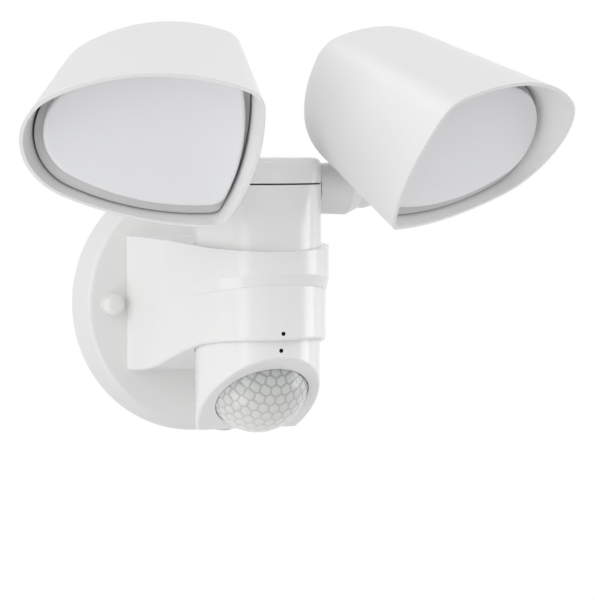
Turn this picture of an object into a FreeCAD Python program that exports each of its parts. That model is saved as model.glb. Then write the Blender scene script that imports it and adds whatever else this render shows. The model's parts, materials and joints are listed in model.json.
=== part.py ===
import FreeCAD, Part
import math
import os

# Twin-head motion sensor security light, in millimetres.
# The wall face is the plane Y = 0, the front faces -Y and up is +Z. The origin is the centre
# of the canopy's wall face.

V = FreeCAD.Vector
ORIGIN = V(0, 0, 0)
X_AXIS = V(1, 0, 0)
Y_AXIS = V(0, 1, 0)
Z_AXIS = V(0, 0, 1)
FRONT = V(0, -1, 0)
FAR = 300.0

# Clearances
RUN_GAP = 0.06
TURN_GAP = 0.3
SEAT_GAP = 0.05
SCREW_GAP = 0.2

# Canopy
CANOPY_R = 63.5
CANOPY_FRONT_R = 60.9
CANOPY_DEPTH = 16.9
CANOPY_WALL = 1.8
CANOPY_EDGE_FILLET = 2.5
GASKET_THICK = 3.0
GASKET_WIDTH = 3.0
LEDGE_THICK = 1.6
WIRE_HOLE_R = 12.0

# Straps, studs and nuts behind and through the canopy
STRAP_THICK = 2.0
STRAP_HALF_LENGTH = 52.0
STRAP_HALF_WIDTH = 8.0
SLOT_CENTRE = 39.7
SLOT_LENGTH = 14.0
SLOT_R = 2.2
STUD_STRAP_THICK = 1.6
STUD_STRAP_END = 3.6
STUD_STRAP_HALF_WIDTH = 6.0
STUD_R = 2.0
STUD_HEAD_R = 3.5
STUD_HEAD_THICK = 1.7
STUD_REACH = 5.0
NUT_R = 5.3
NUT_HEIGHT = 7.1
NUT_DOME_FILLET = 3.3
NUT_TO_ARM = 2.7
EYELET_R = 3.6
EYELET_WALL = 0.9
EYELET_FLANGE_R = 5.5
EYELET_FLANGE_THICK = 0.7
GROUND_X = 26.0
GROUND_R = 1.9
GROUND_HEAD_R = 4.0
GROUND_HEAD_THICK = 3.0
GROUND_WASHER_THICK = 0.8

# Main radii of the sensor body, upright at the front of the arm
AXIS_Y = -81.0
HOUSING_R = 29.55
HOUSING_WALL = 2.2
SENSOR_R = 28.94
SENSOR_WALL = 2.2

# Bracket arm and collar
ARM_HALF_WIDTH = 41.5
ARM_WALL = 2.4
COLLAR_WALL = 2.05
COLLAR_R = max(HOUSING_R, SENSOR_R) + COLLAR_WALL
BAND_STEP = 1.5
BAND_R = COLLAR_R + BAND_STEP
BAND_SHARE = 0.62
BAND_LOW_FRONT_Z = 12.6
BAND_RISE = 5.0
BAND_SLOPE = 0.19
ARM_TOP_BACK_Z = 32.5
ARM_TOP_MID_Z = 31.1
ARM_TOP_FRONT_Z = 27.7
ARM_BOTTOM_BACK_Z = -31.7
ARM_BOTTOM_FRONT_Z = -12.8
ARM_CORNER_FILLET = 1.5
RING_WALL = 2.6
STUD_X = ARM_HALF_WIDTH + NUT_R + NUT_TO_ARM
BOSS_R = 3.6
BOSS_X = ARM_HALF_WIDTH - ARM_WALL - BOSS_R - 0.1
BOSS_TOP_Z = 24.0
BOSS_BOTTOM_Z = -22.0
BOSS_LENGTH = 17.0
SMALL_SCREW_R = 1.45
SMALL_HEAD_R = 3.0
SMALL_HEAD_THICK = 1.9

# Upper housing and top cap
HOUSING_FLOOR_Z = 1.8
HOUSING_FLOOR_THICK = 2.4
SEAM_Z = 58.1
SEAM_GAP = 0.75
SEAL_SETBACK = 0.65
CAP_TOP_Z = 70.4
CAP_EDGE_FILLET = 3.5
CAP_BOSS_R = 4.2
CAP_SCREW_RADIUS = HOUSING_R - HOUSING_WALL - CAP_BOSS_R + 0.25
CAP_BOSS_LENGTH = 18.0
HOUSING_SCREW_X = 9.0
HOUSING_SCREW_Z = 23.0
HOUSING_BOSS_R = 3.6
HOUSING_BOSS_LENGTH = 7.0
BODY_WIRE_HOLE_R = 4.5
BODY_WIRE_HOLE_Z = 12.0
BOARD_THICK = 1.6
BOARD_EDGE_GAP = 0.97
DRIVER_TO_RETAINER = 0.7
DRIVER_TOP_Z = 38.0

# Sensor housing, turned about the vertical axis in the collar
FACE_Z = -40.8
FACE_DOWN_DEG = 49.35
FACE_WALL = 2.5
FACE_FILLET = 1.6
OPENING_BORDER = 6.64
OPENING_R = SENSOR_R - OPENING_BORDER
OPENING_TO_BACK = 17.6209
FACE_Y = AXIS_Y + SENSOR_R - OPENING_TO_BACK - OPENING_R * math.sin(math.radians(FACE_DOWN_DEG))
OPENING_TO_UNDERSIDE = 1.27
SENSOR_BOTTOM_Z = FACE_Z - OPENING_R * math.cos(math.radians(FACE_DOWN_DEG)) - OPENING_TO_UNDERSIDE
SENSOR_BOTTOM_THICK = 1.9
NECK_SETBACK = 17.55
NECK_R = HOUSING_R - NECK_SETBACK
NECK_WALL = 4.0
NECK_RISE = 7.0
RETAINER_R = NECK_R + 4.5
RETAINER_THICK = 2.5
RETAINER_GROOVE = 0.8
DOT_R = 1.0
DOT_DEPTH = 0.5
COLLAR_DOT_Z = -9.5
SENSOR_DOT_Z = -17.4

# Motion sensor lens and what is behind it
DOME_RISE = 14.3
DOME_EDGE_R = OPENING_R - TURN_GAP
DOME_R = (DOME_EDGE_R ** 2 + DOME_RISE ** 2) / (2 * DOME_RISE)
DOME_SINK = DOME_R - DOME_RISE
DOME_WALL = 1.2
CELL_PITCH = 5.1
CELL_RELIEF = 0.3
CELL_SPREAD = 2.0
DOME_ROWS = 13
LENS_FLANGE_R = OPENING_R + 1.6
LENS_FLANGE_THICK = 1.2
CARRIER_THICK = 1.8
CARRIER_BORE_R = OPENING_R - 6.8
CARRIER_WALL = 2.0
CARRIER_DEPTH = 5.5
DETECTOR_R = 4.6
DETECTOR_RISE = 4.4

# Control knobs in the flat underside
KNOB_X = 9.5
KNOB_R = 3.5
KNOB_DROP = 1.0
KNOB_FLANGE_R = 4.6
KNOB_EDGE_GAP = 0.45
KNOB_REACH = SENSOR_R - SENSOR_WALL - KNOB_FLANGE_R - KNOB_EDGE_GAP
KNOB_Y = AXIS_Y + math.sqrt(KNOB_REACH ** 2 - KNOB_X ** 2)
KNOB_FLANGE_THICK = 0.8
KNOB_STEM_R = 1.5
POT_SIDE = 6.0
POT_HEIGHT = 4.0

# Swivel arms
SPOT_DEPTH = 2.25
SPOT_X = HOUSING_R - SPOT_DEPTH
SPOT_TO_PIVOT = 24.7
PIVOT_X = SPOT_X + SPOT_TO_PIVOT
PIVOT_Z = 55.9
ARM_SUNK = 5.8
ARM_INNER_X = SPOT_X - ARM_SUNK
ARM_FLANGE_THICK = 2.6
ARM_FLANGE_R = 11.0
ARM_NECK_R = 8.3
ARM_ROOT_R = 11.65
SPOT_TO_WAIST = 16.2
ARM_WAIST_X = SPOT_X + SPOT_TO_WAIST
ARM_WAIST_R = 12.3
SPOT_TO_TIP = 22.0
ARM_TIP_X = SPOT_X + SPOT_TO_TIP
ARM_TIP_R = 9.6
EYE_R = 9.4
EYE_TOP = 10.0
EYE_FLOOR = -3.6
EYE_RECESS_R = 5.3
BEARING_BLOCK_DEPTH = 8.0
BEARING_HALF_WIDTH = 12.6
BEARING_SPLIT_HALF_WIDTH = 11.5

# Stems between the arms and the lamp heads
STEM_PIN_R = 4.2
STEM_PIN_END = -4.1
STEM_COLLAR_R = 7.4
STEM_COLLAR_TOP = 13.6
STEM_R = 6.0
STEM_PAD_TOP = 24.0
STEM_NUT_FLATS = 17.0
STEM_NUT_HEIGHT = 4.0
STEM_END = 29.2
STEM_SCREW_R = 1.4
STEM_SCREW_HEAD_R = 3.2
STEM_SCREW_HEAD_THICK = 2.2
STEM_WASHER_R = 4.9
STEM_WASHER_THICK = 0.8

# Resting directions of the lamp heads, right and left
PAN_DEG = {"right": 17.9, "left": 16.3}
TILT_DEG = {"right": 24.7, "left": 22.9}

# Lamp shade. Its section is three corner circles joined by three bulging arcs that touch them
# from outside: the nose points away from the sensor body. Each circle is (across, up, radius).
SHADE_CIRCLES = ((36.5, -1.15, 30.2), (-18.8, 28.1, 11.0), (-18.2, -28.3, 7.2))
SHADE_BULGES = (90.0, 114.0, 134.0)
SECTION_ACROSS = -4.35
SECTION_UP = 43.64
SECTION_FORWARD = 48.7
SHADE_LENGTH = 75.1
SHADE_FRONT = 45.0
SHADE_TAPER = 0.743
REAR_SHIFT_ACROSS = -3.3
REAR_SHIFT_UP = 5.2
REAR_ROUND = 24.7
REAR_ROUND_DEG = 70.0
REAR_SECTIONS = 7
REAR_MIDDLE_ACROSS = -8.0
REAR_MIDDLE_UP = -8.0
REAR_LEAN = 0.188
RIM_FORWARD = 16.75
RIM_RAKE = 0.36
RIM_SKEW = -0.067
SHADE_WALL = 1.7
REAR_WALL = 2.2
STEM_PAD_R = 11.5
STEM_BOSS_R = 9.0
TRAY_POSTS = ((-12.5, 8.0), (-12.0, -5.5), (11.0, 1.5))
POST_R = 4.0
POST_PAD_R = 5.2
POST_PAD_DEPTH = 5.4

# Diffuser and lamp unit, in the same section axes
DIFFUSER_CIRCLES = ((36.6, 1.3, 23.1), (-15.9, 25.6, 8.6), (-16.6, -19.4, 7.6))
DIFFUSER_BULGES = (118.0, 84.0, 110.0)
DIFFUSER_FRONT = 2.9
DIFFUSER_WALL = 1.8
DIFFUSER_FILLET = 1.7
TRAY_FACE = -2.5
TRAY_THICK = 2.5
TRAY_GAP = 0.5
HEAT_SINK_INSET = 5.0
HEAT_SINK_DEPTH = 8.0
SEAL_THICK = 1.0
LED_BOARD_INSET = 3.2
LED_BOARD_THICK = 1.4
LED_SIDE = 3.5
LED_THICK = 0.9
LED_COLUMNS = 5
LED_PITCH = 12.5


def rod(radius, start, direction, length):
    """Solid cylinder from a point along a direction."""
    return Part.makeCylinder(radius, length, start, direction)


def tube(outer, inner, start, direction, length):
    """Hollow cylinder from a point along a direction."""
    return rod(outer, start, direction, length).cut(rod(inner, start, direction, length))


def box(x0, x1, y0, y1, z0, z1):
    """Box between two corners."""
    return Part.makeBox(x1 - x0, y1 - y0, z1 - z0, V(x0, y0, z0))


def beyond(point, normal):
    """Everything on the far side of a plane, as a very large box."""
    block = Part.makeBox(FAR * 2, FAR * 2, FAR * 2, V(-FAR, -FAR, 0))
    block.Placement = FreeCAD.Placement(point, FreeCAD.Rotation(Z_AXIS, normal))
    return block


def fuse_all(shapes):
    """One solid from touching or overlapping shapes."""
    result = shapes[0].multiFuse(shapes[1:]) if len(shapes) > 1 else shapes[0]
    return result.removeSplitter()


def revolved(points, start, direction):
    """Solid of revolution from (along, radius) points about an axis through start."""
    side = V(0, 0, 1) if abs(direction.z) < 0.9 else V(1, 0, 0)
    corners = [start + direction * along + side * radius for along, radius in points]
    face = Part.Face(Part.makePolygon(corners + [corners[0]]))
    return face.revolve(start, direction, 360)


def rounded(shape, radius, test):
    """Fillet the edges that pass a test."""
    edges = [edge for edge in shape.Edges if test(edge)]
    return shape.makeFillet(radius, edges)


def axis_x(x=0.0, z=0.0):
    """Point beside the vertical axis of the sensor body."""
    return V(x, AXIS_Y, z)


# Canopy and wall fixings

def wall_canopy():
    """Round pan with a ledge for the gasket and holes for studs, screws and wires."""
    shape = Part.makeCone(CANOPY_R, CANOPY_FRONT_R, CANOPY_DEPTH, ORIGIN, FRONT)
    shape = rounded(shape, CANOPY_EDGE_FILLET, lambda e: e.BoundBox.YMax < -CANOPY_DEPTH + 0.1)
    inside = Part.makeCone(CANOPY_R - CANOPY_WALL, CANOPY_FRONT_R - CANOPY_WALL,
                           CANOPY_DEPTH - CANOPY_WALL, ORIGIN, FRONT)
    inside = rounded(inside, CANOPY_EDGE_FILLET - CANOPY_WALL * 0.5,
                     lambda e: e.BoundBox.YMax < -CANOPY_DEPTH + CANOPY_WALL + 0.1)
    shape = shape.cut(inside)
    taper = (CANOPY_R - CANOPY_FRONT_R) / CANOPY_DEPTH
    ledge_r = CANOPY_R - CANOPY_WALL * 0.5 - taper * (GASKET_THICK + LEDGE_THICK)
    ledge = tube(ledge_r, gasket_radius() - GASKET_WIDTH, V(0, -GASKET_THICK, 0), FRONT, LEDGE_THICK)
    shape = shape.fuse(ledge)
    holes = [rod(WIRE_HOLE_R, ORIGIN, FRONT, CANOPY_DEPTH * 2)]
    for side in (-1, 1):
        holes.append(rod(STUD_R + SCREW_GAP, V(side * STUD_X, 0, 0), FRONT, CANOPY_DEPTH * 2))
    for point in boss_points():
        holes.append(rod(SMALL_SCREW_R + SCREW_GAP, point, FRONT, CANOPY_DEPTH * 2))
    return shape.cut(holes).removeSplitter()


def gasket_radius():
    """Outer radius of the gasket, inside the pan's tapered wall."""
    taper = (CANOPY_R - CANOPY_FRONT_R) / (CANOPY_DEPTH - CANOPY_WALL)
    return CANOPY_R - CANOPY_WALL - taper * GASKET_THICK - SEAT_GAP


def canopy_gasket():
    """Foam ring between the ledge and the wall."""
    outer = gasket_radius()
    return tube(outer, outer - GASKET_WIDTH, V(0, -GASKET_THICK, 0), Y_AXIS, GASKET_THICK)


def slot(centre_z, half_travel, radius, y0, y1):
    """Upright slot with round ends, cut along Y."""
    ends = [rod(radius, V(0, y1, centre_z + s * half_travel), FRONT, y1 - y0) for s in (-1, 1)]
    middle = box(-radius, radius, y0, y1, centre_z - half_travel, centre_z + half_travel)
    return fuse_all(ends + [middle])


def mounting_strap():
    """Upright strap with two slots for the screws of the outlet box."""
    body = box(-STRAP_HALF_WIDTH, STRAP_HALF_WIDTH, -STRAP_THICK, 0, -STRAP_HALF_LENGTH, STRAP_HALF_LENGTH)
    body = rounded(body, STRAP_HALF_WIDTH * 0.4, lambda e: abs(e.BoundBox.YLength - STRAP_THICK) < 0.01)
    half_travel = SLOT_LENGTH / 2 - SLOT_R
    cuts = [slot(s * SLOT_CENTRE, half_travel, SLOT_R, -STRAP_THICK * 2, STRAP_THICK) for s in (-1, 1)]
    cuts.append(rod(EYELET_R + SEAT_GAP, V(0, 1, 0), FRONT, STRAP_THICK * 2))
    cuts.append(rod(EYELET_FLANGE_R + SCREW_GAP, V(0, 1, 0), FRONT, 1 + EYELET_FLANGE_THICK))
    return body.cut(cuts)


def stud_strap():
    """Level strap that swivels on the eyelet and carries the studs and the ground screw."""
    front = -STRAP_THICK - STUD_STRAP_THICK
    half_length = STUD_X + STUD_STRAP_END
    body = box(-half_length, half_length, front, -STRAP_THICK, -STUD_STRAP_HALF_WIDTH, STUD_STRAP_HALF_WIDTH)
    body = rounded(body, STUD_STRAP_HALF_WIDTH * 0.6,
                   lambda e: abs(e.BoundBox.YLength - STUD_STRAP_THICK) < 0.01)
    cuts = [rod(STUD_R + SEAT_GAP, V(s * STUD_X, 1, 0), FRONT, FAR) for s in (-1, 1)]
    cuts.append(rod(EYELET_R + SEAT_GAP, V(0, 1, 0), FRONT, FAR))
    cuts.append(rod(GROUND_R + SEAT_GAP, V(GROUND_X, 1, 0), FRONT, FAR))
    return body.cut(cuts)


def strap_eyelet():
    """Hollow rivet through both straps."""
    front = -STRAP_THICK - STUD_STRAP_THICK
    grip = STRAP_THICK + STUD_STRAP_THICK - EYELET_FLANGE_THICK
    barrel = rod(EYELET_R, V(0, -EYELET_FLANGE_THICK, 0), FRONT, grip)
    rear = rod(EYELET_FLANGE_R, ORIGIN, FRONT, EYELET_FLANGE_THICK)
    head = rod(EYELET_FLANGE_R, V(0, front, 0), FRONT, EYELET_FLANGE_THICK)
    return fuse_all([barrel, rear, head]).cut(rod(EYELET_R - EYELET_WALL, V(0, 1, 0), FRONT, FAR))


def canopy_studs():
    """Two threaded studs whose heads sit behind the stud strap."""
    studs = []
    for side in (-1, 1):
        seat = V(side * STUD_X, -STRAP_THICK, 0)
        head = rod(STUD_HEAD_R, seat, Y_AXIS, STUD_HEAD_THICK)
        head = rounded(head, STUD_HEAD_THICK * 0.4, lambda e: e.BoundBox.YMin > -STRAP_THICK + 1)
        shank = rod(STUD_R, seat, FRONT, CANOPY_DEPTH - STRAP_THICK + STUD_REACH)
        studs.append(head.fuse(shank).removeSplitter())
    return studs


def cap_nuts():
    """Two closed nuts on the canopy's front."""
    nuts = []
    for side in (-1, 1):
        seat = V(side * STUD_X, -CANOPY_DEPTH, 0)
        nut = rod(NUT_R, seat, FRONT, NUT_HEIGHT)
        nut = rounded(nut, NUT_DOME_FILLET, lambda e: e.BoundBox.YMax < -CANOPY_DEPTH - 1)
        bore = rod(STUD_R + SEAT_GAP, seat, FRONT, STUD_REACH + SCREW_GAP)
        nuts.append(nut.cut(bore))
    return nuts


def ground_screw():
    """Hexagon screw with a washer face, for the ground wire."""
    seat = V(GROUND_X, -STRAP_THICK - STUD_STRAP_THICK, 0)
    washer = rod(GROUND_HEAD_R + 0.8, seat, FRONT, GROUND_WASHER_THICK)
    head = hexagon(GROUND_HEAD_R, seat + FRONT * GROUND_WASHER_THICK, FRONT, GROUND_HEAD_THICK)
    shank = rod(GROUND_R, seat, Y_AXIS, STUD_STRAP_THICK + STRAP_THICK * 0.7)
    return fuse_all([washer, head, shank])


def hexagon(circumradius, start, direction, length):
    """Hexagonal prism along a direction."""
    corners = [V(circumradius * math.cos(math.radians(a)), circumradius * math.sin(math.radians(a)), 0)
               for a in range(0, 420, 60)]
    prism = Part.Face(Part.makePolygon(corners)).extrude(V(0, 0, length))
    prism.Placement = FreeCAD.Placement(start, FreeCAD.Rotation(Z_AXIS, direction))
    return prism


# Bracket arm with its collar

def touch_point(radius, x, y):
    """Where a line from (x, y) touches a circle about the body's axis."""
    dx, dy = x, y - AXIS_Y
    reach = math.hypot(dx, dy)
    turn = math.atan2(dy, dx) - math.acos(radius / reach)
    return V(radius * math.cos(turn), AXIS_Y + radius * math.sin(turn), 0)


def arm_y(share):
    """Distance from the wall at a share of the way from the canopy's front to the body's axis."""
    return -CANOPY_DEPTH + (AXIS_Y + CANOPY_DEPTH) * share


def arm_lean():
    """How much the arm's straight side comes in for each millimetre forward."""
    touch = touch_point(COLLAR_R, ARM_HALF_WIDTH, -CANOPY_DEPTH)
    return (ARM_HALF_WIDTH - touch.x) / (-CANOPY_DEPTH - touch.y)


def arm_plan(radius, half_width, back):
    """Outline of the arm from above: straight sides that run into the collar's circle."""
    touch = touch_point(radius, half_width, back)
    left = V(-touch.x, touch.y, 0)
    back_right = V(half_width, back, 0)
    back_left = V(-half_width, back, 0)
    nose = V(0, AXIS_Y - radius, 0)
    edges = [Part.makeLine(back_right, touch), Part.Arc(touch, nose, left).toShape(),
             Part.makeLine(left, back_left), Part.makeLine(back_left, back_right)]
    return Part.Face(Part.Wire(edges))


def arm_side(inset):
    """Outline of the arm from the side, drawn in the plane X = -FAR/2."""
    def point(y, z):
        return V(-FAR / 2, y, z)
    collar_front = AXIS_Y - BAND_R - 2
    top = ARM_TOP_BACK_Z - inset, ARM_TOP_MID_Z - inset, ARM_TOP_FRONT_Z - inset
    back = -CANOPY_DEPTH + inset
    drop = ARM_BOTTOM_FRONT_Z - ARM_BOTTOM_BACK_Z
    low = ARM_BOTTOM_BACK_Z + inset
    knee_a, knee_b = (arm_y(0.482), low + drop * 0.25), (arm_y(0.797), low + drop * 0.61)
    edges = [
        Part.Arc(point(back, top[0]), point(arm_y(0.828), top[1]), point(collar_front, top[2])).toShape(),
        Part.makeLine(point(collar_front, top[2]), point(collar_front, low + drop)),
        Part.Arc(point(collar_front, low + drop), point(arm_y(1.109), low + drop * 0.88),
                 point(*knee_b)).toShape(),
        Part.makeLine(point(*knee_b), point(*knee_a)),
        Part.Arc(point(*knee_a), point(arm_y(0.251), low + drop * 0.065), point(back, low)).toShape(),
        Part.makeLine(point(back, low), point(back, top[0]))]
    return Part.Face(Part.Wire(edges)).extrude(V(FAR, 0, 0))


def arm_outer():
    """Outside of the arm: a plain lower part and a raised band with a bevelled lower edge."""
    side = arm_side(0)
    lower = arm_plan(COLLAR_R, ARM_HALF_WIDTH, -CANOPY_DEPTH)
    lower = lower.extrude(V(0, 0, 2 * FAR)).translated(V(0, 0, -FAR))
    lower = lower.common(side)
    corner = [e for e in lower.Edges if is_lower_corner(e)]
    lower = lower.makeFillet(ARM_CORNER_FILLET, corner)
    band_back = arm_y(BAND_SHARE)
    band = arm_plan(BAND_R, ARM_HALF_WIDTH - arm_lean() * (-CANOPY_DEPTH - band_back), band_back)
    band = band.extrude(V(0, 0, 2 * FAR)).translated(V(0, 0, -FAR))
    band = band.common(side)
    slope = V(0, BAND_SLOPE, 1)
    band_foot = V(0, AXIS_Y - COLLAR_R, BAND_LOW_FRONT_Z)
    band = band.cut(beyond(band_foot, slope * -1))
    bevel = BAND_R - COLLAR_R
    edges = [e for e in band.Edges if is_band_foot(e, band_foot, slope)]
    band = band.makeChamfer(BAND_RISE, bevel, edges)
    return lower.fuse(band).removeSplitter()


def is_lower_corner(edge):
    """Edges between the arm's underside and its side walls."""
    b = edge.BoundBox
    return b.ZMax < ARM_BOTTOM_FRONT_Z and b.XLength > 0.5 and min(abs(b.XMin), abs(b.XMax)) > COLLAR_R \
        and b.YLength > 5 and b.ZMin < ARM_BOTTOM_FRONT_Z - 5


def is_band_foot(edge, foot, slope):
    """Edges of the band in its sloping lower plane, apart from the one at its back."""
    for vertex in edge.Vertexes:
        if abs((vertex.Point - foot).dot(slope)) > 0.01:
            return False
    return edge.BoundBox.YLength > 1


def arm_cavity():
    """Hollow of the arm behind the collar, open towards the canopy."""
    lean = arm_lean()
    back_x = ARM_HALF_WIDTH - ARM_WALL + lean * 1.0
    front_x = ARM_HALF_WIDTH - ARM_WALL - lean * (-CANOPY_DEPTH - AXIS_Y)
    corners = [V(back_x, -CANOPY_DEPTH + 1, 0), V(front_x, AXIS_Y, 0), V(-front_x, AXIS_Y, 0),
               V(-back_x, -CANOPY_DEPTH + 1, 0)]
    plan = Part.Face(Part.makePolygon(corners + [corners[0]])).extrude(V(0, 0, 2 * FAR))
    plan.translate(V(0, 0, -FAR))
    hollow = plan.common(arm_side(ARM_WALL))
    return hollow.cut(rod(widest_bore() + RING_WALL, axis_x(0, -FAR / 2), Z_AXIS, FAR))


def widest_bore():
    """Radius of the collar's bore where it is widest."""
    return max(HOUSING_R + SEAT_GAP, SENSOR_R + TURN_GAP)


def boss_points():
    """Centres of the four arm screws in the plane Y = 0."""
    return [V(s * BOSS_X, 0, z) for s in (-1, 1) for z in (BOSS_TOP_Z, BOSS_BOTTOM_Z)]


def ring_back_y():
    """Flat face behind the collar where the housing screws sit."""
    return AXIS_Y + widest_bore() + RING_WALL + 0.4


def arm_bracket():
    """Hollow arm with collar bore, screw bosses and the pad for the housing screws."""
    outer = arm_outer()
    shape = outer.cut(arm_cavity())
    additions = []
    for point in boss_points():
        boss = rod(BOSS_R, V(point.x, -CANOPY_DEPTH, point.z), FRONT, BOSS_LENGTH)
        additions.append(boss.common(outer))
    half = HOUSING_SCREW_X + SMALL_HEAD_R + 1.2
    pad = box(-half, half, AXIS_Y + HOUSING_R, ring_back_y(),
              HOUSING_SCREW_Z - SMALL_HEAD_R - 1, HOUSING_SCREW_Z + SMALL_HEAD_R + 1)
    shape = shape.fuse(additions + [pad])
    cuts = [rod(SENSOR_R + TURN_GAP, axis_x(0, HOUSING_FLOOR_Z), Z_AXIS * -1, FAR),
            rod(HOUSING_R + SEAT_GAP, axis_x(0, HOUSING_FLOOR_Z), Z_AXIS, FAR)]
    for point in boss_points():
        start = V(point.x, -CANOPY_DEPTH + 1, point.z)
        cuts.append(rod(SMALL_SCREW_R + SEAT_GAP, start, FRONT, BOSS_LENGTH - 1))
    cuts += housing_screw_holes(SMALL_SCREW_R + SCREW_GAP)
    cuts.append(rod(BODY_WIRE_HOLE_R, V(0, ring_back_y() + 5, BODY_WIRE_HOLE_Z), FRONT, 15))
    cuts.append(rod(DOT_R, V(0, AXIS_Y - COLLAR_R + DOT_DEPTH, COLLAR_DOT_Z), FRONT, 5))
    return shape.cut(cuts).removeSplitter()


def housing_screw_holes(radius):
    """Round cuts along Y for the two screws that hold the upper housing."""
    length = ring_back_y() - (AXIS_Y + HOUSING_R) + HOUSING_BOSS_LENGTH + 3.45
    return [rod(radius, V(s * HOUSING_SCREW_X, ring_back_y() + 1, HOUSING_SCREW_Z), FRONT, length)
            for s in (-1, 1)]


def arm_screws():
    """Four screws from inside the canopy into the arm's bosses."""
    seat_y = -CANOPY_DEPTH + CANOPY_WALL
    return [pan_screw(V(p.x, seat_y, p.z), FRONT, CANOPY_WALL + BOSS_LENGTH - 4) for p in boss_points()]


def pan_screw(seat, direction, length, radius=SMALL_SCREW_R, head_r=SMALL_HEAD_R,
              head_thick=SMALL_HEAD_THICK):
    """Pan-head screw: seat is under the head, direction points along the shank."""
    head = rod(head_r, seat, direction * -1, head_thick)
    top = seat - direction * head_thick
    rim = [e for e in head.Edges if e.BoundBox.Center.distanceToPoint(top) < 0.01]
    head = head.makeFillet(head_thick * 0.45, rim)
    slot_cut = Part.makeBox(head_r * 2, 0.7, head_thick * 0.5, V(-head_r, -0.35, 0))
    slot_cut.Placement = FreeCAD.Placement(top, FreeCAD.Rotation(Z_AXIS, direction))
    head = head.cut(slot_cut)
    return head.fuse(rod(radius, seat, direction, length)).removeSplitter()


def housing_screws():
    """Two screws from the arm's hollow into the upper housing."""
    length = ring_back_y() - (AXIS_Y + HOUSING_R) + HOUSING_BOSS_LENGTH - 1
    return [pan_screw(V(s * HOUSING_SCREW_X, ring_back_y(), HOUSING_SCREW_Z), FRONT, length)
            for s in (-1, 1)]


# Upper housing with its cap

def housing_shell():
    """Whole upper body before the seam divides it: wall, floor, top and bearing blocks."""
    height = CAP_TOP_Z - HOUSING_FLOOR_Z
    outer = rod(HOUSING_R, axis_x(0, HOUSING_FLOOR_Z), Z_AXIS, height)
    outer = rounded(outer, CAP_EDGE_FILLET, lambda e: e.BoundBox.ZMin > CAP_TOP_Z - 0.1)
    floor_z = HOUSING_FLOOR_Z + HOUSING_FLOOR_THICK
    inner = rod(HOUSING_R - HOUSING_WALL, axis_x(0, floor_z), Z_AXIS, CAP_TOP_Z - HOUSING_WALL - floor_z)
    inner = rounded(inner, CAP_EDGE_FILLET - HOUSING_WALL * 0.6,
                    lambda e: e.BoundBox.ZMin > CAP_TOP_Z - HOUSING_WALL - 0.1)
    shell = outer.cut(inner)
    blocks = []
    for side in (-1, 1):
        near, far = SPOT_X - BEARING_BLOCK_DEPTH, SPOT_X + 1
        blocks.append(box(min(side * near, side * far), max(side * near, side * far),
                          AXIS_Y - BEARING_HALF_WIDTH, AXIS_Y + BEARING_HALF_WIDTH,
                          PIVOT_Z - BEARING_HALF_WIDTH, CAP_TOP_Z))
    for side in (-1, 1):
        blocks.append(rod(CAP_BOSS_R, V(0, AXIS_Y + side * CAP_SCREW_RADIUS, SEAM_Z - CAP_BOSS_LENGTH),
                          Z_AXIS, CAP_TOP_Z))
        blocks.append(rod(HOUSING_BOSS_R, V(side * HOUSING_SCREW_X, AXIS_Y + HOUSING_R, HOUSING_SCREW_Z),
                          FRONT, HOUSING_BOSS_LENGTH + 1.5))
    shell = shell.fuse([block.common(outer) for block in blocks])
    cuts = [rod(NECK_R + TURN_GAP, axis_x(0, 0), Z_AXIS, floor_z + 1),
            rod(BODY_WIRE_HOLE_R, V(0, AXIS_Y + HOUSING_R + 2, BODY_WIRE_HOLE_Z), FRONT, 8)]
    cuts += housing_screw_holes(SMALL_SCREW_R + SEAT_GAP)
    for side in (-1, 1):
        cuts += bearing_cuts(side)
    return shell.cut(cuts)


def bearing_cuts(side):
    """Neck bore, flange groove and spot face of one swivel bearing."""
    along = X_AXIS * side
    block_end = SPOT_X - BEARING_BLOCK_DEPTH
    return [rod(ARM_NECK_R + RUN_GAP, V(side * (block_end - 1), AXIS_Y, PIVOT_Z), along,
                BEARING_BLOCK_DEPTH + 5),
            rod(ARM_FLANGE_R + TURN_GAP, V(side * (ARM_INNER_X - TURN_GAP), AXIS_Y, PIVOT_Z), along,
                ARM_FLANGE_THICK + 2 * TURN_GAP),
            rod(ARM_ROOT_R + TURN_GAP, V(side * SPOT_X, AXIS_Y, PIVOT_Z), along, 10)]


def split_zones():
    """Boxes round the bearings where the cap reaches down to the swivel axis."""
    half = BEARING_SPLIT_HALF_WIDTH
    near = SPOT_X - BEARING_BLOCK_DEPTH - 2
    return [box(min(s * near, s * FAR), max(s * near, s * FAR), AXIS_Y - half, AXIS_Y + half,
                PIVOT_Z, SEAM_Z + SEAM_GAP) for s in (-1, 1)]


def upper_housing():
    """Housing below the seam, with the lower halves of the bearings."""
    shape = housing_shell().cut([beyond(V(0, 0, SEAM_Z), Z_AXIS)] + split_zones())
    screws = [rod(SMALL_SCREW_R + SEAT_GAP, V(0, AXIS_Y + s * CAP_SCREW_RADIUS, SEAM_Z - CAP_BOSS_LENGTH + 3),
                  Z_AXIS, FAR) for s in (-1, 1)]
    return shape.cut(screws).removeSplitter()


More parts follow.
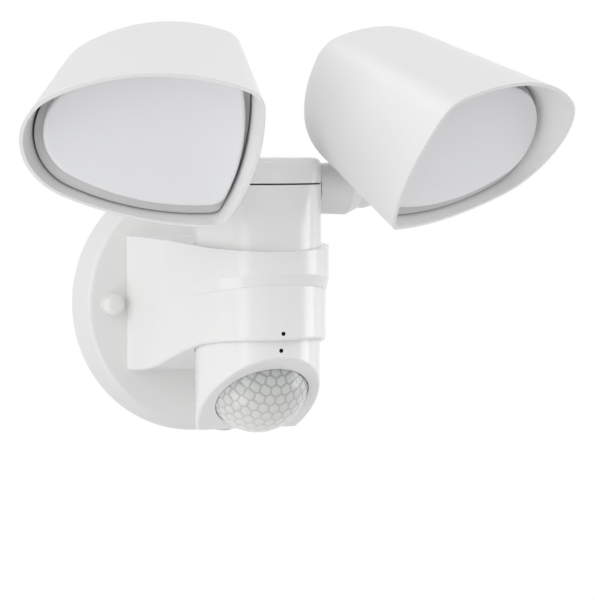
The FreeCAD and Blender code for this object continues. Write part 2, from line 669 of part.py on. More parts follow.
def top_cap():
    """Cap above the seam, with the upper halves of the bearings and two screw bosses."""
    shell = housing_shell()
    upper = shell.cut(beyond(V(0, 0, SEAM_Z + SEAM_GAP), Z_AXIS * -1))
    parts = [upper]
    for zone in split_zones():
        parts.append(shell.common(zone))
    for side in (-1, 1):
        boss = rod(CAP_BOSS_R, V(0, AXIS_Y + side * CAP_SCREW_RADIUS, SEAM_Z), Z_AXIS, SEAM_GAP + 1)
        parts.append(boss.common(rod(HOUSING_R - HOUSING_WALL, axis_x(0, 0), Z_AXIS, FAR)))
    shape = fuse_all(parts)
    cuts = []
    for side in (-1, 1):
        centre = V(0, AXIS_Y + side * CAP_SCREW_RADIUS, 0)
        cuts.append(rod(SMALL_SCREW_R + SCREW_GAP, centre, Z_AXIS, FAR))
        cuts.append(rod(SMALL_HEAD_R + SCREW_GAP, centre + V(0, 0, cap_screw_seat()), Z_AXIS, FAR))
    return shape.cut(cuts).removeSplitter()


def cap_screw_seat():
    """Height of the counterbore floors in the cap's top."""
    return CAP_TOP_Z - SMALL_HEAD_THICK - CAP_EDGE_FILLET * 0.4


def cap_screws():
    """Two screws down through the cap into the housing's bosses."""
    length = cap_screw_seat() - SEAM_Z + CAP_BOSS_LENGTH - 4
    return [pan_screw(V(0, AXIS_Y + s * CAP_SCREW_RADIUS, cap_screw_seat()), Z_AXIS * -1, length)
            for s in (-1, 1)]


def cap_seal():
    """Dark ring in the seam between housing and cap."""
    ring = tube(HOUSING_R - SEAL_SETBACK, HOUSING_R - HOUSING_WALL, axis_x(0, SEAM_Z), Z_AXIS, SEAM_GAP)
    cuts = []
    half = BEARING_HALF_WIDTH + SEAT_GAP
    for side in (-1, 1):
        near = SPOT_X - BEARING_BLOCK_DEPTH - 1
        cuts.append(box(min(side * near, side * FAR), max(side * near, side * FAR),
                        AXIS_Y - half, AXIS_Y + half, 0, FAR))
    return ring.cut(cuts).Solids


def driver_board():
    """Upright circuit board on the housing floor with its largest components."""
    floor_z = HOUSING_FLOOR_Z + HOUSING_FLOOR_THICK
    tall = DRIVER_TOP_Z - floor_z
    offset = RETAINER_R + DRIVER_TO_RETAINER
    half = math.sqrt((HOUSING_R - HOUSING_WALL - BOARD_EDGE_GAP) ** 2 - (offset + BOARD_THICK) ** 2)
    front = AXIS_Y + offset
    board = box(-half, half, front, front + BOARD_THICK, floor_z, DRIVER_TOP_Z)
    coil = box(-half * 0.65, half * 0.1, front - offset * 0.5, front, floor_z + tall * 0.29,
               floor_z + tall * 0.67)
    can = rod(half * 0.24, V(half * 0.49, front, floor_z + tall * 0.47), FRONT, offset * 0.6)
    relay = box(-half * 0.76, half * 0.2, front - offset * 0.45, front, floor_z + tall * 0.73,
                floor_z + tall * 0.94)
    return fuse_all([board, coil, can, relay])


# Sensor housing and its contents

def face_normal():
    """Outward direction of the sloping sensor face."""
    down = math.radians(FACE_DOWN_DEG)
    return V(0, -math.cos(down), -math.sin(down))


def on_face(shape):
    """Move a shape built on the XY plane so that the plane lies on the sensor face."""
    placed = shape.copy()
    placed.Placement = FreeCAD.Placement(V(0, FACE_Y, FACE_Z), FreeCAD.Rotation(Z_AXIS, face_normal()))
    return placed


def neck_disc_z():
    """Underside and top of the disc that closes the sensor housing."""
    top = HOUSING_FLOOR_Z - TURN_GAP
    return top - HOUSING_FLOOR_THICK, top


def sensor_housing():
    """Cylinder with a sloping face, its opening, knob holes and a board post."""
    low, top = neck_disc_z()
    shape = rod(SENSOR_R, axis_x(0, SENSOR_BOTTOM_Z), Z_AXIS, top - SENSOR_BOTTOM_Z)
    face_point = V(0, FACE_Y, FACE_Z)
    shape = shape.cut(beyond(face_point, face_normal()))
    shape = rounded(shape, FACE_FILLET, lambda e: e.BoundBox.ZMax < top - 1)
    hollow = rod(SENSOR_R - SENSOR_WALL, axis_x(0, SENSOR_BOTTOM_Z + SENSOR_BOTTOM_THICK), Z_AXIS, FAR)
    hollow = hollow.cut(beyond(face_point - face_normal() * FACE_WALL, face_normal()))
    shape = shape.cut(hollow)
    post_y = KNOB_Y
    post = rod(2.0, V(0, post_y, SENSOR_BOTTOM_Z + 0.5), Z_AXIS, control_board_z() - SENSOR_BOTTOM_Z - 0.5)
    shape = shape.fuse(post)
    cuts = [rod(OPENING_R, face_point - face_normal() * 6, face_normal(), FAR),
            rod(SENSOR_R - SENSOR_WALL + 0.8, axis_x(0, low), Z_AXIS, FAR),
            rod(DOT_R, V(0, AXIS_Y - SENSOR_R + DOT_DEPTH, SENSOR_DOT_Z), FRONT, 5)]
    cuts += [rod(KNOB_R + TURN_GAP, V(s * KNOB_X, KNOB_Y, SENSOR_BOTTOM_Z - 1), Z_AXIS,
                 SENSOR_BOTTOM_THICK + 2) for s in (-1, 1)]
    return shape.cut(cuts).removeSplitter()


def sensor_neck():
    """Disc that closes the sensor housing, with the hollow neck it turns on."""
    low, top = neck_disc_z()
    disc = rod(SENSOR_R - SENSOR_WALL + 0.8, axis_x(0, low), Z_AXIS, top - low)
    neck = rod(NECK_R, axis_x(0, low), Z_AXIS, top - low + NECK_RISE)
    shape = fuse_all([disc, neck])
    groove_z = retainer_z()
    groove = tube(NECK_R + 1, NECK_R - RETAINER_GROOVE, axis_x(0, groove_z), Z_AXIS, RETAINER_THICK)
    return shape.cut([groove, rod(NECK_R - NECK_WALL, axis_x(0, low - 1), Z_AXIS, FAR)])


def retainer_z():
    """Underside of the ring that keeps the neck in the housing's floor."""
    return HOUSING_FLOOR_Z + HOUSING_FLOOR_THICK + TURN_GAP


def neck_retainer():
    """Snap ring in the neck's groove, above the housing floor."""
    return tube(RETAINER_R, NECK_R - RETAINER_GROOVE, axis_x(0, retainer_z()), Z_AXIS, RETAINER_THICK)


def cell_directions():
    """Directions of the lens cells from the dome's centre, in staggered rows of latitude."""
    row_step = CELL_PITCH * 0.866 / DOME_R
    directions = []
    for row in range(DOME_ROWS):
        latitude = (row - (DOME_ROWS - 1) / 2) * row_step
        step = CELL_PITCH / (DOME_R * math.cos(latitude))
        shift = 0.5 if row % 2 else 0.0
        count = int(CELL_SPREAD / step)
        for column in range(-count - 1, count + 1):
            longitude = (column + shift) * step
            directions.append(V(math.cos(latitude) * math.sin(longitude), math.sin(latitude),
                                math.cos(latitude) * math.cos(longitude)))
    return directions


def clipped(polygon, point, normal):
    """Part of a flat polygon on the inner side of a plane."""
    heights = [(corner - point).dot(normal) for corner in polygon]
    kept = []
    for i, corner in enumerate(polygon):
        j = (i + 1) % len(polygon)
        if heights[i] <= 0:
            kept.append(corner)
        if heights[i] * heights[j] < 0:
            kept.append(corner + (polygon[j] - corner) * (heights[i] / (heights[i] - heights[j])))
    return kept


def faceted_dome(radius, base):
    """Solid bounded by the tangent planes of the lens cells and cut flat at its base."""
    planes = [(direction * radius, direction) for direction in cell_directions()]
    planes.append((V(0, 0, base), Z_AXIS * -1))
    planes += [(V(0, side * radius, 0), V(0, side, 0)) for side in (-1, 1)]
    faces = []
    for index, (point, normal) in enumerate(planes):
        along = normal.cross(Z_AXIS if abs(normal.z) < 0.9 else X_AXIS).normalize() * (radius * 2)
        across = normal.cross(along)
        polygon = [point + along * a + across * b for a, b in ((-1, -1), (1, -1), (1, 1), (-1, 1))]
        for other, (other_point, other_normal) in enumerate(planes):
            if other != index and polygon:
                polygon = clipped(polygon, other_point, other_normal)
        corners = [c for i, c in enumerate(polygon) if (c - polygon[i - 1]).Length > 1e-6]
        if len(corners) > 2:
            faces.append(Part.Face(Part.makePolygon(corners + [corners[0]])))
    return Part.Solid(Part.Shell(faces))


def pir_lens():
    """Dome of flat lens cells, each in the tangent plane of its own centre, on a flange."""
    back = -FACE_WALL - LENS_FLANGE_THICK
    dome = faceted_dome(DOME_R - CELL_RELIEF, back + DOME_SINK)
    dome = dome.common(Part.makeSphere(DOME_R)).translated(V(0, 0, -DOME_SINK))
    dome = dome.common(rod(DOME_EDGE_R, V(0, 0, back), Z_AXIS, DOME_R))
    flange = rod(LENS_FLANGE_R, V(0, 0, back), Z_AXIS, LENS_FLANGE_THICK)
    hollow = Part.makeSphere(DOME_R - DOME_WALL, V(0, 0, -DOME_SINK))
    hollow = hollow.common(rod(DOME_EDGE_R - DOME_WALL, V(0, 0, back - 1), Z_AXIS, DOME_R))
    return on_face(dome.fuse(flange).cut(hollow).removeSplitter())


def carrier_z():
    """Front face of the detector board, measured along the face normal."""
    return -FACE_WALL - LENS_FLANGE_THICK - CARRIER_THICK - CARRIER_DEPTH


def lens_carrier():
    """Ring that clamps the lens flange and holds the detector board."""
    top = -FACE_WALL - LENS_FLANGE_THICK
    ring = rod(LENS_FLANGE_R - 0.2, V(0, 0, top - CARRIER_THICK), Z_AXIS, CARRIER_THICK)
    wall = rod(CARRIER_BORE_R + CARRIER_WALL, V(0, 0, carrier_z()), Z_AXIS, CARRIER_DEPTH)
    shape = fuse_all([ring, wall]).cut(rod(CARRIER_BORE_R, V(0, 0, carrier_z() - 1), Z_AXIS, FAR))
    return on_face(shape)


def pir_board():
    """Round circuit board behind the lens."""
    start = V(0, 0, carrier_z() - BOARD_THICK)
    return on_face(rod(CARRIER_BORE_R + CARRIER_WALL, start, Z_AXIS, BOARD_THICK))


def pir_detector():
    """Metal can of the heat detector at the centre of the dome."""
    base = rod(DETECTOR_R + 0.6, V(0, 0, carrier_z()), Z_AXIS, 0.6)
    can = rod(DETECTOR_R, V(0, 0, carrier_z()), Z_AXIS, DETECTOR_RISE)
    can = rounded(can, 0.5, lambda e: e.BoundBox.ZMin > carrier_z() + DETECTOR_RISE - 0.1)
    window = Part.makeBox(4, 3, 1, V(-2, -1.5, carrier_z() + DETECTOR_RISE - 0.3))
    return on_face(base.fuse(can).cut(window).removeSplitter())


def knob_base_z():
    """Underside of the knob's inner flange."""
    return SENSOR_BOTTOM_Z + SENSOR_BOTTOM_THICK + TURN_GAP


def control_board_z():
    """Underside of the control board, on top of the potentiometers."""
    return knob_base_z() + KNOB_FLANGE_THICK + TURN_GAP + POT_HEIGHT


def knob(side):
    """Screwdriver knob through the underside, with a flange and a stem inside."""
    low = SENSOR_BOTTOM_Z - KNOB_DROP
    x = side * KNOB_X
    head = rod(KNOB_R, V(x, KNOB_Y, low), Z_AXIS, knob_base_z() - low)
    head = rounded(head, 0.4, lambda e: e.BoundBox.ZMax < low + 0.1)
    flange = rod(KNOB_FLANGE_R, V(x, KNOB_Y, knob_base_z()), Z_AXIS, KNOB_FLANGE_THICK)
    stem = rod(KNOB_STEM_R, V(x, KNOB_Y, knob_base_z()), Z_AXIS,
               KNOB_FLANGE_THICK + TURN_GAP + POT_HEIGHT * 0.75)
    groove = box(x - 0.5, x + 0.5, KNOB_Y - KNOB_R * 0.8, KNOB_Y + KNOB_R * 0.8, low - 1, low + 0.8)
    return fuse_all([head, flange, stem]).cut(groove)


def control_board():
    """Small board above the knobs with one potentiometer for each."""
    z = control_board_z()
    plate = box(-KNOB_X - 4.5, KNOB_X + 4.5, KNOB_Y - 5.2, KNOB_Y + 3.6, z, z + 1.4)
    plate = plate.common(rod(SENSOR_R - SENSOR_WALL - 0.4, axis_x(0, z - 1), Z_AXIS, 5))
    half = POT_SIDE / 2
    pots = []
    for side in (-1, 1):
        x = side * KNOB_X
        pot = box(x - half, x + half, KNOB_Y - half, KNOB_Y + half, z - POT_HEIGHT, z)
        pots.append(pot.cut(rod(KNOB_STEM_R + RUN_GAP, V(x, KNOB_Y, z - POT_HEIGHT - 1), Z_AXIS,
                                POT_HEIGHT)))
    return fuse_all([plate] + pots)


# Swivel arms, stems and lamp heads. They are built for the right side with the pivot at the
# origin: X runs outward, -Y forward and Z along the stem.

def place(shape, side, turned):
    """Mirror a piece for the left side and set it at its resting direction."""
    piece = shape if side == "right" else shape.mirror(ORIGIN, X_AXIS)
    sign = 1 if side == "right" else -1
    tilt = FreeCAD.Rotation(X_AXIS, TILT_DEG[side])
    pan = FreeCAD.Rotation(Z_AXIS, sign * PAN_DEG[side]) if turned else FreeCAD.Rotation()
    pivot = V(sign * PIVOT_X, AXIS_Y, PIVOT_Z)
    return moved(piece, FreeCAD.Placement(pivot, tilt.multiply(pan)))


def moved(shape, placement):
    """Copy of a shape with a placement put in front of its own."""
    piece = shape.copy()
    piece.Placement = placement.multiply(piece.Placement)
    return piece


def swivel_arm():
    """Turned arm with a captive flange, a long boss and the eye for the stem."""
    profile = [(ARM_INNER_X, 0), (ARM_INNER_X, ARM_FLANGE_R),
               (ARM_INNER_X + ARM_FLANGE_THICK, ARM_FLANGE_R), (ARM_INNER_X + ARM_FLANGE_THICK, ARM_NECK_R),
               (SPOT_X + TURN_GAP, ARM_NECK_R), (SPOT_X + TURN_GAP, ARM_ROOT_R),
               (ARM_WAIST_X, ARM_WAIST_R), (ARM_TIP_X, ARM_TIP_R), (ARM_TIP_X, 0)]
    boss = revolved([(x - PIVOT_X, r) for x, r in profile], ORIGIN, X_AXIS)
    tip = rod(EYE_R - 0.2, V(ARM_TIP_X - PIVOT_X - 0.5, 0, 0), X_AXIS, PIVOT_X - ARM_TIP_X)
    ball = Part.makeSphere(EYE_R)
    post = rod(EYE_R - 0.4, ORIGIN, Z_AXIS, EYE_TOP)
    shape = fuse_all([boss, tip, ball, post])
    cuts = [rod(STEM_COLLAR_R + 0.8, V(0, 0, EYE_TOP), Z_AXIS, 10),
            rod(STEM_PIN_R + RUN_GAP, V(0, 0, -EYE_R * 2), Z_AXIS, EYE_R * 4),
            rod(EYE_RECESS_R, V(0, 0, EYE_FLOOR), Z_AXIS * -1, EYE_R * 2)]
    return shape.cut(cuts).removeSplitter()


def head_stem():
    """Stem of a lamp head: pin in the arm's eye, collar and threaded upper end."""
    pin = rod(STEM_PIN_R, V(0, 0, STEM_PIN_END), Z_AXIS, EYE_TOP - STEM_PIN_END)
    collar = rod(STEM_COLLAR_R, V(0, 0, EYE_TOP), Z_AXIS, STEM_COLLAR_TOP - EYE_TOP)
    upper = rod(STEM_R, V(0, 0, STEM_COLLAR_TOP), Z_AXIS, STEM_END - STEM_COLLAR_TOP)
    upper = upper.makeChamfer(0.8, [e for e in upper.Edges if e.BoundBox.ZMin > STEM_END - 0.1])
    shape = fuse_all([pin, collar, upper])
    return shape.cut(rod(STEM_SCREW_R + SEAT_GAP, V(0, 0, STEM_PIN_END), Z_AXIS, 9))


def stem_nut():
    """Hexagon nut that clamps the shade on the stem's collar."""
    nut = hexagon(STEM_NUT_FLATS / math.sqrt(3), V(0, 0, STEM_PAD_TOP), Z_AXIS, STEM_NUT_HEIGHT)
    return nut.cut(rod(STEM_R + SEAT_GAP, V(0, 0, STEM_PAD_TOP - 1), Z_AXIS, STEM_NUT_HEIGHT + 2))


def stem_washer():
    """Washer under the screw that keeps the pin in the eye."""
    return tube(STEM_WASHER_R, STEM_SCREW_R + SCREW_GAP, V(0, 0, STEM_PIN_END), Z_AXIS * -1,
                STEM_WASHER_THICK)


def stem_screw():
    """Screw from below into the stem's pin."""
    seat = V(0, 0, STEM_PIN_END - STEM_WASHER_THICK)
    return pan_screw(seat, Z_AXIS, STEM_WASHER_THICK + 8, STEM_SCREW_R, STEM_SCREW_HEAD_R,
                     STEM_SCREW_HEAD_THICK)


def arc_centre(first, first_r, second, second_r, bulge):
    """Centre of an arc of radius bulge that touches two circles from outside."""
    gap = second - first
    length = gap.Length
    a, b = bulge - first_r, bulge - second_r
    along = (a * a - b * b + length * length) / (2 * length)
    across = math.sqrt(a * a - along * along)
    unit = gap * (1 / length)
    return first + unit * along + V(-unit.z, 0, unit.x) * across


def section_wire(circles, bulges, inset, scale, shift_across, shift_up, forward):
    """Closed outline of corner circles joined by bulging arcs, at a distance forward."""
    centres = [V(across, 0, up) for across, up, radius in circles]
    radii = [radius - inset for across, up, radius in circles]
    arcs = [radius - inset for radius in bulges]
    offset = V(SECTION_ACROSS + shift_across, -SECTION_FORWARD - forward, SECTION_UP + shift_up)

    def put(point):
        return point * scale + offset

    def between(centre, radius, start, end):
        first, second = (start - centre).normalize(), (end - centre).normalize()
        return Part.Arc(put(start), put(centre + (first + second).normalize() * radius), put(end)).toShape()

    starts, ends, middles = [], [], []
    for i in range(3):
        j = (i + 1) % 3
        middle = arc_centre(centres[i], radii[i], centres[j], radii[j], arcs[i])
        middles.append(middle)
        starts.append(middle + (centres[i] - middle).normalize() * arcs[i])
        ends.append(middle + (centres[j] - middle).normalize() * arcs[i])
    edges = []
    for i in range(3):
        j = (i + 1) % 3
        edges.append(between(middles[i], arcs[i], starts[i], ends[i]))
        edges.append(between(centres[j], radii[j], ends[i], starts[j]))
    return Part.Wire(edges)


def shade_scale(forward):
    """Size of the tapered shade's section beside its reference section."""
    return 1 + (1 - SHADE_TAPER) * forward / SHADE_LENGTH


def shade_wire(inset, forward, shrink=1.0):
    """Shade outline at a distance forward, drawn together towards the middle of the rear."""
    scale = shade_scale(forward)
    back = -forward / SHADE_LENGTH
    pull = scale * (1 - shrink)
    return section_wire(SHADE_CIRCLES, SHADE_BULGES, inset / (scale * shrink), scale * shrink,
                        REAR_SHIFT_ACROSS * back + REAR_MIDDLE_ACROSS * pull,
                        REAR_SHIFT_UP * back + REAR_MIDDLE_UP * pull, forward)


def section_point(across, up, forward):
    """Point given in the section axes."""
    return V(SECTION_ACROSS + across, -SECTION_FORWARD - forward, SECTION_UP + up)


def shade_body(inset, rear_inset):
    """Tapered body of the shade: straight sides that round over to a small flat rear."""
    round_start = REAR_ROUND - SHADE_LENGTH
    spacing = REAR_ROUND * math.radians(REAR_ROUND_DEG) / REAR_SECTIONS
    joint = round_start + spacing * 3
    front = Part.makeLoft([shade_wire(inset, joint), shade_wire(inset, SHADE_FRONT)], True, True)
    depth = (REAR_ROUND - rear_inset) / math.sin(math.radians(REAR_ROUND_DEG))
    wires = []
    for step in range(REAR_SECTIONS, 0, -1):
        turn = math.radians(REAR_ROUND_DEG) * step / REAR_SECTIONS
        forward = round_start - depth * math.sin(turn)
        wire = shade_wire(inset, forward, math.cos(turn))
        lean = math.degrees(math.atan(REAR_LEAN * math.sin(turn)))
        wires.append(wire.rotate(section_point(0, 0, forward), X_AXIS, lean))
    for step in range(4):
        wires.append(shade_wire(inset, round_start + spacing * step))
    return front.fuse(Part.makeLoft(wires, True, False))


def rear_face_at(up):
    """Distance forward of the shade's flat rear at a height in the section."""
    return -SHADE_LENGTH + REAR_LEAN * math.sin(math.radians(REAR_ROUND_DEG)) * up


def lamp_shade():
    """Hooded shade with an oblique rim, screw pads in its rear wall and the stem's boss."""
    outer = shade_body(0, 0)
    inner = shade_body(SHADE_WALL, REAR_WALL)
    shape = outer.cut(inner)
    pads = [rod(STEM_PAD_R, ORIGIN, Z_AXIS, STEM_PAD_TOP).common(outer)]
    for across, up in TRAY_POSTS:
        start = section_point(across, up, rear_face_at(up) - 5)
        pads.append(rod(POST_PAD_R, start, FRONT, POST_PAD_DEPTH + 5).common(outer))
    boss = rod(STEM_BOSS_R, V(0, 0, STEM_COLLAR_TOP), Z_AXIS, STEM_PAD_TOP - STEM_COLLAR_TOP)
    shape = shape.fuse(pads + [boss])
    rim_normal = V(-RIM_SKEW, -1, -RIM_RAKE)
    cuts = [beyond(section_point(0, 0, RIM_FORWARD), rim_normal),
            rod(STEM_R + SEAT_GAP, ORIGIN, Z_AXIS, STEM_PAD_TOP + 1),
            rod(STEM_PAD_R - 1, V(0, 0, STEM_PAD_TOP), Z_AXIS, STEM_NUT_HEIGHT + 2)]
    for across, up in TRAY_POSTS:
        seat = rear_face_at(up) + REAR_WALL
        cuts.append(rod(SMALL_HEAD_R + SCREW_GAP, section_point(across, up, seat), Y_AXIS, SHADE_LENGTH))
        cuts.append(rod(SMALL_SCREW_R + SCREW_GAP, section_point(across, up, seat - 1), FRONT,
                        SHADE_LENGTH))
    return shape.cut(cuts).removeSplitter()


def slab(circles, bulges, inset, back, front):
    """Plate with a section outline between two distances forward."""
    wire = section_wire(circles, bulges, inset, 1.0, 0, 0, back)
    return Part.Face(wire).extrude(V(0, back - front, 0))


def diffuser():
    """Opal cover: a front plate with a skirt down to the tray's seal."""
    outer = slab(DIFFUSER_CIRCLES, DIFFUSER_BULGES, 0, TRAY_FACE, DIFFUSER_FRONT)
    front_y = -SECTION_FORWARD - DIFFUSER_FRONT
    outer = rounded(outer, DIFFUSER_FILLET, lambda e: e.BoundBox.YMax < front_y + 0.1)
    inner = slab(DIFFUSER_CIRCLES, DIFFUSER_BULGES, DIFFUSER_WALL, TRAY_FACE - 1,
                 DIFFUSER_FRONT - DIFFUSER_WALL)
    return outer.cut(inner)


def diffuser_seal():
    """Rubber ring under the diffuser's skirt, sunk in the tray's groove."""
    return seal_body(0.0)


def seal_body(gap):
    """Seal ring, or with a gap the groove for it."""
    outer = slab(DIFFUSER_CIRCLES, DIFFUSER_BULGES, -gap, TRAY_FACE - SEAL_THICK, TRAY_FACE)
    inner = slab(DIFFUSER_CIRCLES, DIFFUSER_BULGES, DIFFUSER_WALL + gap, TRAY_FACE - SEAL_THICK - 1,
                 TRAY_FACE + 1)
    return outer.cut(inner)


def led_tray():
    """Tray across the shade with a heat sink behind it and posts to the rear wall."""
    back = TRAY_FACE - TRAY_THICK
    plate = Part.Face(shade_wire(SHADE_WALL + TRAY_GAP, back)).extrude(V(0, -TRAY_THICK, 0))
    sink = slab(DIFFUSER_CIRCLES, DIFFUSER_BULGES, HEAT_SINK_INSET, back - HEAT_SINK_DEPTH, back)
    parts = [plate, sink]
    cuts = [seal_body(SEAT_GAP)]
    for across, up in TRAY_POSTS:
        end = rear_face_at(up) + POST_PAD_DEPTH
        parts.append(rod(POST_R, section_point(across, up, end), FRONT, back - end - 1))
        cuts.append(rod(SMALL_SCREW_R + SEAT_GAP, section_point(across, up, end), FRONT, 12))
    return fuse_all(parts).cut(cuts)


def tray_screws():
    """Three screws through the shade's rear wall into the tray's posts."""
    screws = []
    for across, up in TRAY_POSTS:
        seat = rear_face_at(up) + REAR_WALL
        screws.append(pan_screw(section_point(across, up, seat), FRONT, POST_PAD_DEPTH - REAR_WALL + 10))
    return screws


def led_board():
    """Thin board on the tray, inside the diffuser."""
    return slab(DIFFUSER_CIRCLES, DIFFUSER_BULGES, DIFFUSER_WALL + LED_BOARD_INSET, TRAY_FACE,
                TRAY_FACE + LED_BOARD_THICK)


def led_emitters():
    """Rows of square emitters on the board."""
    emitters = []
    for column in range(LED_COLUMNS):
        rows = (-1, 0, 1) if column < 4 else (0,)
        for row in rows:
            centre = section_point(-8 + column * LED_PITCH, 1 + row * LED_PITCH * 0.9,
                                   TRAY_FACE + LED_BOARD_THICK)
            half = LED_SIDE / 2
            emitters.append(box(centre.x - half, centre.x + half, centre.y - LED_THICK, centre.y,
                                centre.z - half, centre.z + half))
    return emitters


def write(name, shape):
    """Write one node as a STEP file of its solids."""
    solids = []
    for piece in (shape if isinstance(shape, list) else [shape]):
        solids += piece.Solids
    result = solids[0] if len(solids) == 1 else Part.makeCompound(solids)
    if not result.isValid():
        print("not valid:", name)
    result.exportStep("parts/" + name + ".step")
    box_ = result.BoundBox
    print("%-22s %3d solids %9.1f mm3  x %7.1f..%7.1f  y %7.1f..%7.1f  z %7.1f..%7.1f" % (
        name, len(solids), result.Volume, box_.XMin, box_.XMax, box_.YMin, box_.YMax, box_.ZMin, box_.ZMax))


def placed(piece, side, turned):
    """Place a shape or a list of shapes on one side."""
    pieces = piece if isinstance(piece, list) else [piece]
    return [place(item, side, turned) for item in pieces]


FIXED_PIECES = {
    "wall_canopy": wall_canopy, "canopy_gasket": canopy_gasket, "mounting_strap": mounting_strap,
    "stud_strap": stud_strap, "strap_eyelet": strap_eyelet, "canopy_studs": canopy_studs,
    "cap_nuts": cap_nuts, "ground_screw": ground_screw, "arm_bracket": arm_bracket,
    "arm_screws": arm_screws, "housing_screws": housing_screws, "upper_housing": upper_housing,
    "top_cap": top_cap, "cap_screws": cap_screws, "cap_seal": cap_seal, "driver_board": driver_board,
    "sensor_housing": sensor_housing, "sensor_neck": sensor_neck, "neck_retainer": neck_retainer,
    "pir_lens": pir_lens, "lens_carrier": lens_carrier, "pir_board": pir_board,
    "pir_detector": pir_detector, "control_board": control_board,
    "time_knob": lambda: knob(-1), "range_knob": lambda: knob(1),
}
ARM_PIECES = {"swivel_arm": swivel_arm}
HEAD_PIECES = {
    "head_stem": head_stem, "stem_nut": stem_nut, "stem_washer": stem_washer, "stem_screw": stem_screw,
    "lamp_shade": lamp_shade, "led_tray": led_tray, "tray_screws": tray_screws,
    "led_board": led_board, "led_emitters": led_emitters, "diffuser_seal": diffuser_seal,
    "diffuser": diffuser,
}


def main():
    """Build every piece and write its file."""
    os.makedirs("parts", exist_ok=True)
    for name, build in FIXED_PIECES.items():
        write(name, build())
    for name, build in list(ARM_PIECES.items()) + list(HEAD_PIECES.items()):
        shape = build()
        for side in ("right", "left"):
            write(name + "_" + side, placed(shape, side, name in HEAD_PIECES))


main()
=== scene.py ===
"""Looks of a wall-mounted security light with two hooded lamp heads and a motion sensor.

Sizes are in millimetres unless a name says otherwise. The front faces -Y, up is +Z and the
origin is the centre of the canopy's wall face.
"""

import json
import logging
import math
from dataclasses import dataclass, field
from enum import Enum
from typing import Callable, Iterable, Sequence

import bmesh
import bpy
from mathutils import Matrix, Vector


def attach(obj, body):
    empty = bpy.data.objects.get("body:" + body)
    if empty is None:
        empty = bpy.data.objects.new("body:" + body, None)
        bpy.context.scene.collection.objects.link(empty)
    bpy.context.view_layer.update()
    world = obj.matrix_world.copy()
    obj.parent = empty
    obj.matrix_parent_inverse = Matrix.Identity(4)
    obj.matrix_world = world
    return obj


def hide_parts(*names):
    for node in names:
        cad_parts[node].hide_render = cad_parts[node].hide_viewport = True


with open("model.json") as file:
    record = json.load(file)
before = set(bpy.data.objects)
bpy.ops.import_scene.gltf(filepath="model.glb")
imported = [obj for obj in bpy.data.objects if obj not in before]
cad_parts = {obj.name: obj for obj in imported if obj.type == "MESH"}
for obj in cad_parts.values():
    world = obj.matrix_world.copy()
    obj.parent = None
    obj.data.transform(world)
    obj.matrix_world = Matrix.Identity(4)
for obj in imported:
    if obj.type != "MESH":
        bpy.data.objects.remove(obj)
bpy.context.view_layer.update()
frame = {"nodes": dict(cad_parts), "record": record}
MM = 0.001
AXIS_Y = -81.0  # the upright axis of housing and sensor
SLOW_GRAIN = 22.0  # grain of the faint colour variation
FINE_GRAIN = 6.0  # grain of the uneven gloss
BRUSH_STRETCH = (1, 1, 0.04)  # long grain along Z
SCATTER_DEPTH = 2.0  # how far light runs inside opal plastic
CELL_EDGE = "cell_edge"  # attribute that the lens mesh carries
HEX_ROW_SHARE = 0.866  # distance of two rows of hexagons over their pitch
FAR = 1000.0  # more than any distance on the lens
RGB = tuple[float, float, float]
Socket = bpy.types.NodeSocket
LOG = logging.getLogger("security_light")


class Side(Enum):
    """Which lamp head a piece belongs to, seen from the front."""

    RIGHT = 1
    LEFT = -1

    @property
    def label(self) -> str:
        """Word used in node and piece names."""
        return self.name.lower()


class Relief(Enum):
    """Fine relief that a finish can carry."""

    ORANGE_PEEL = "orange peel"
    SATIN = "satin"
    CAST = "cast"
    FOAM = "foam"
    BRUSHED = "brushed"


GRAIN_DETAIL = {Relief.CAST: 5.0, Relief.ORANGE_PEEL: 0.5, Relief.SATIN: 3.0}


# Node trees


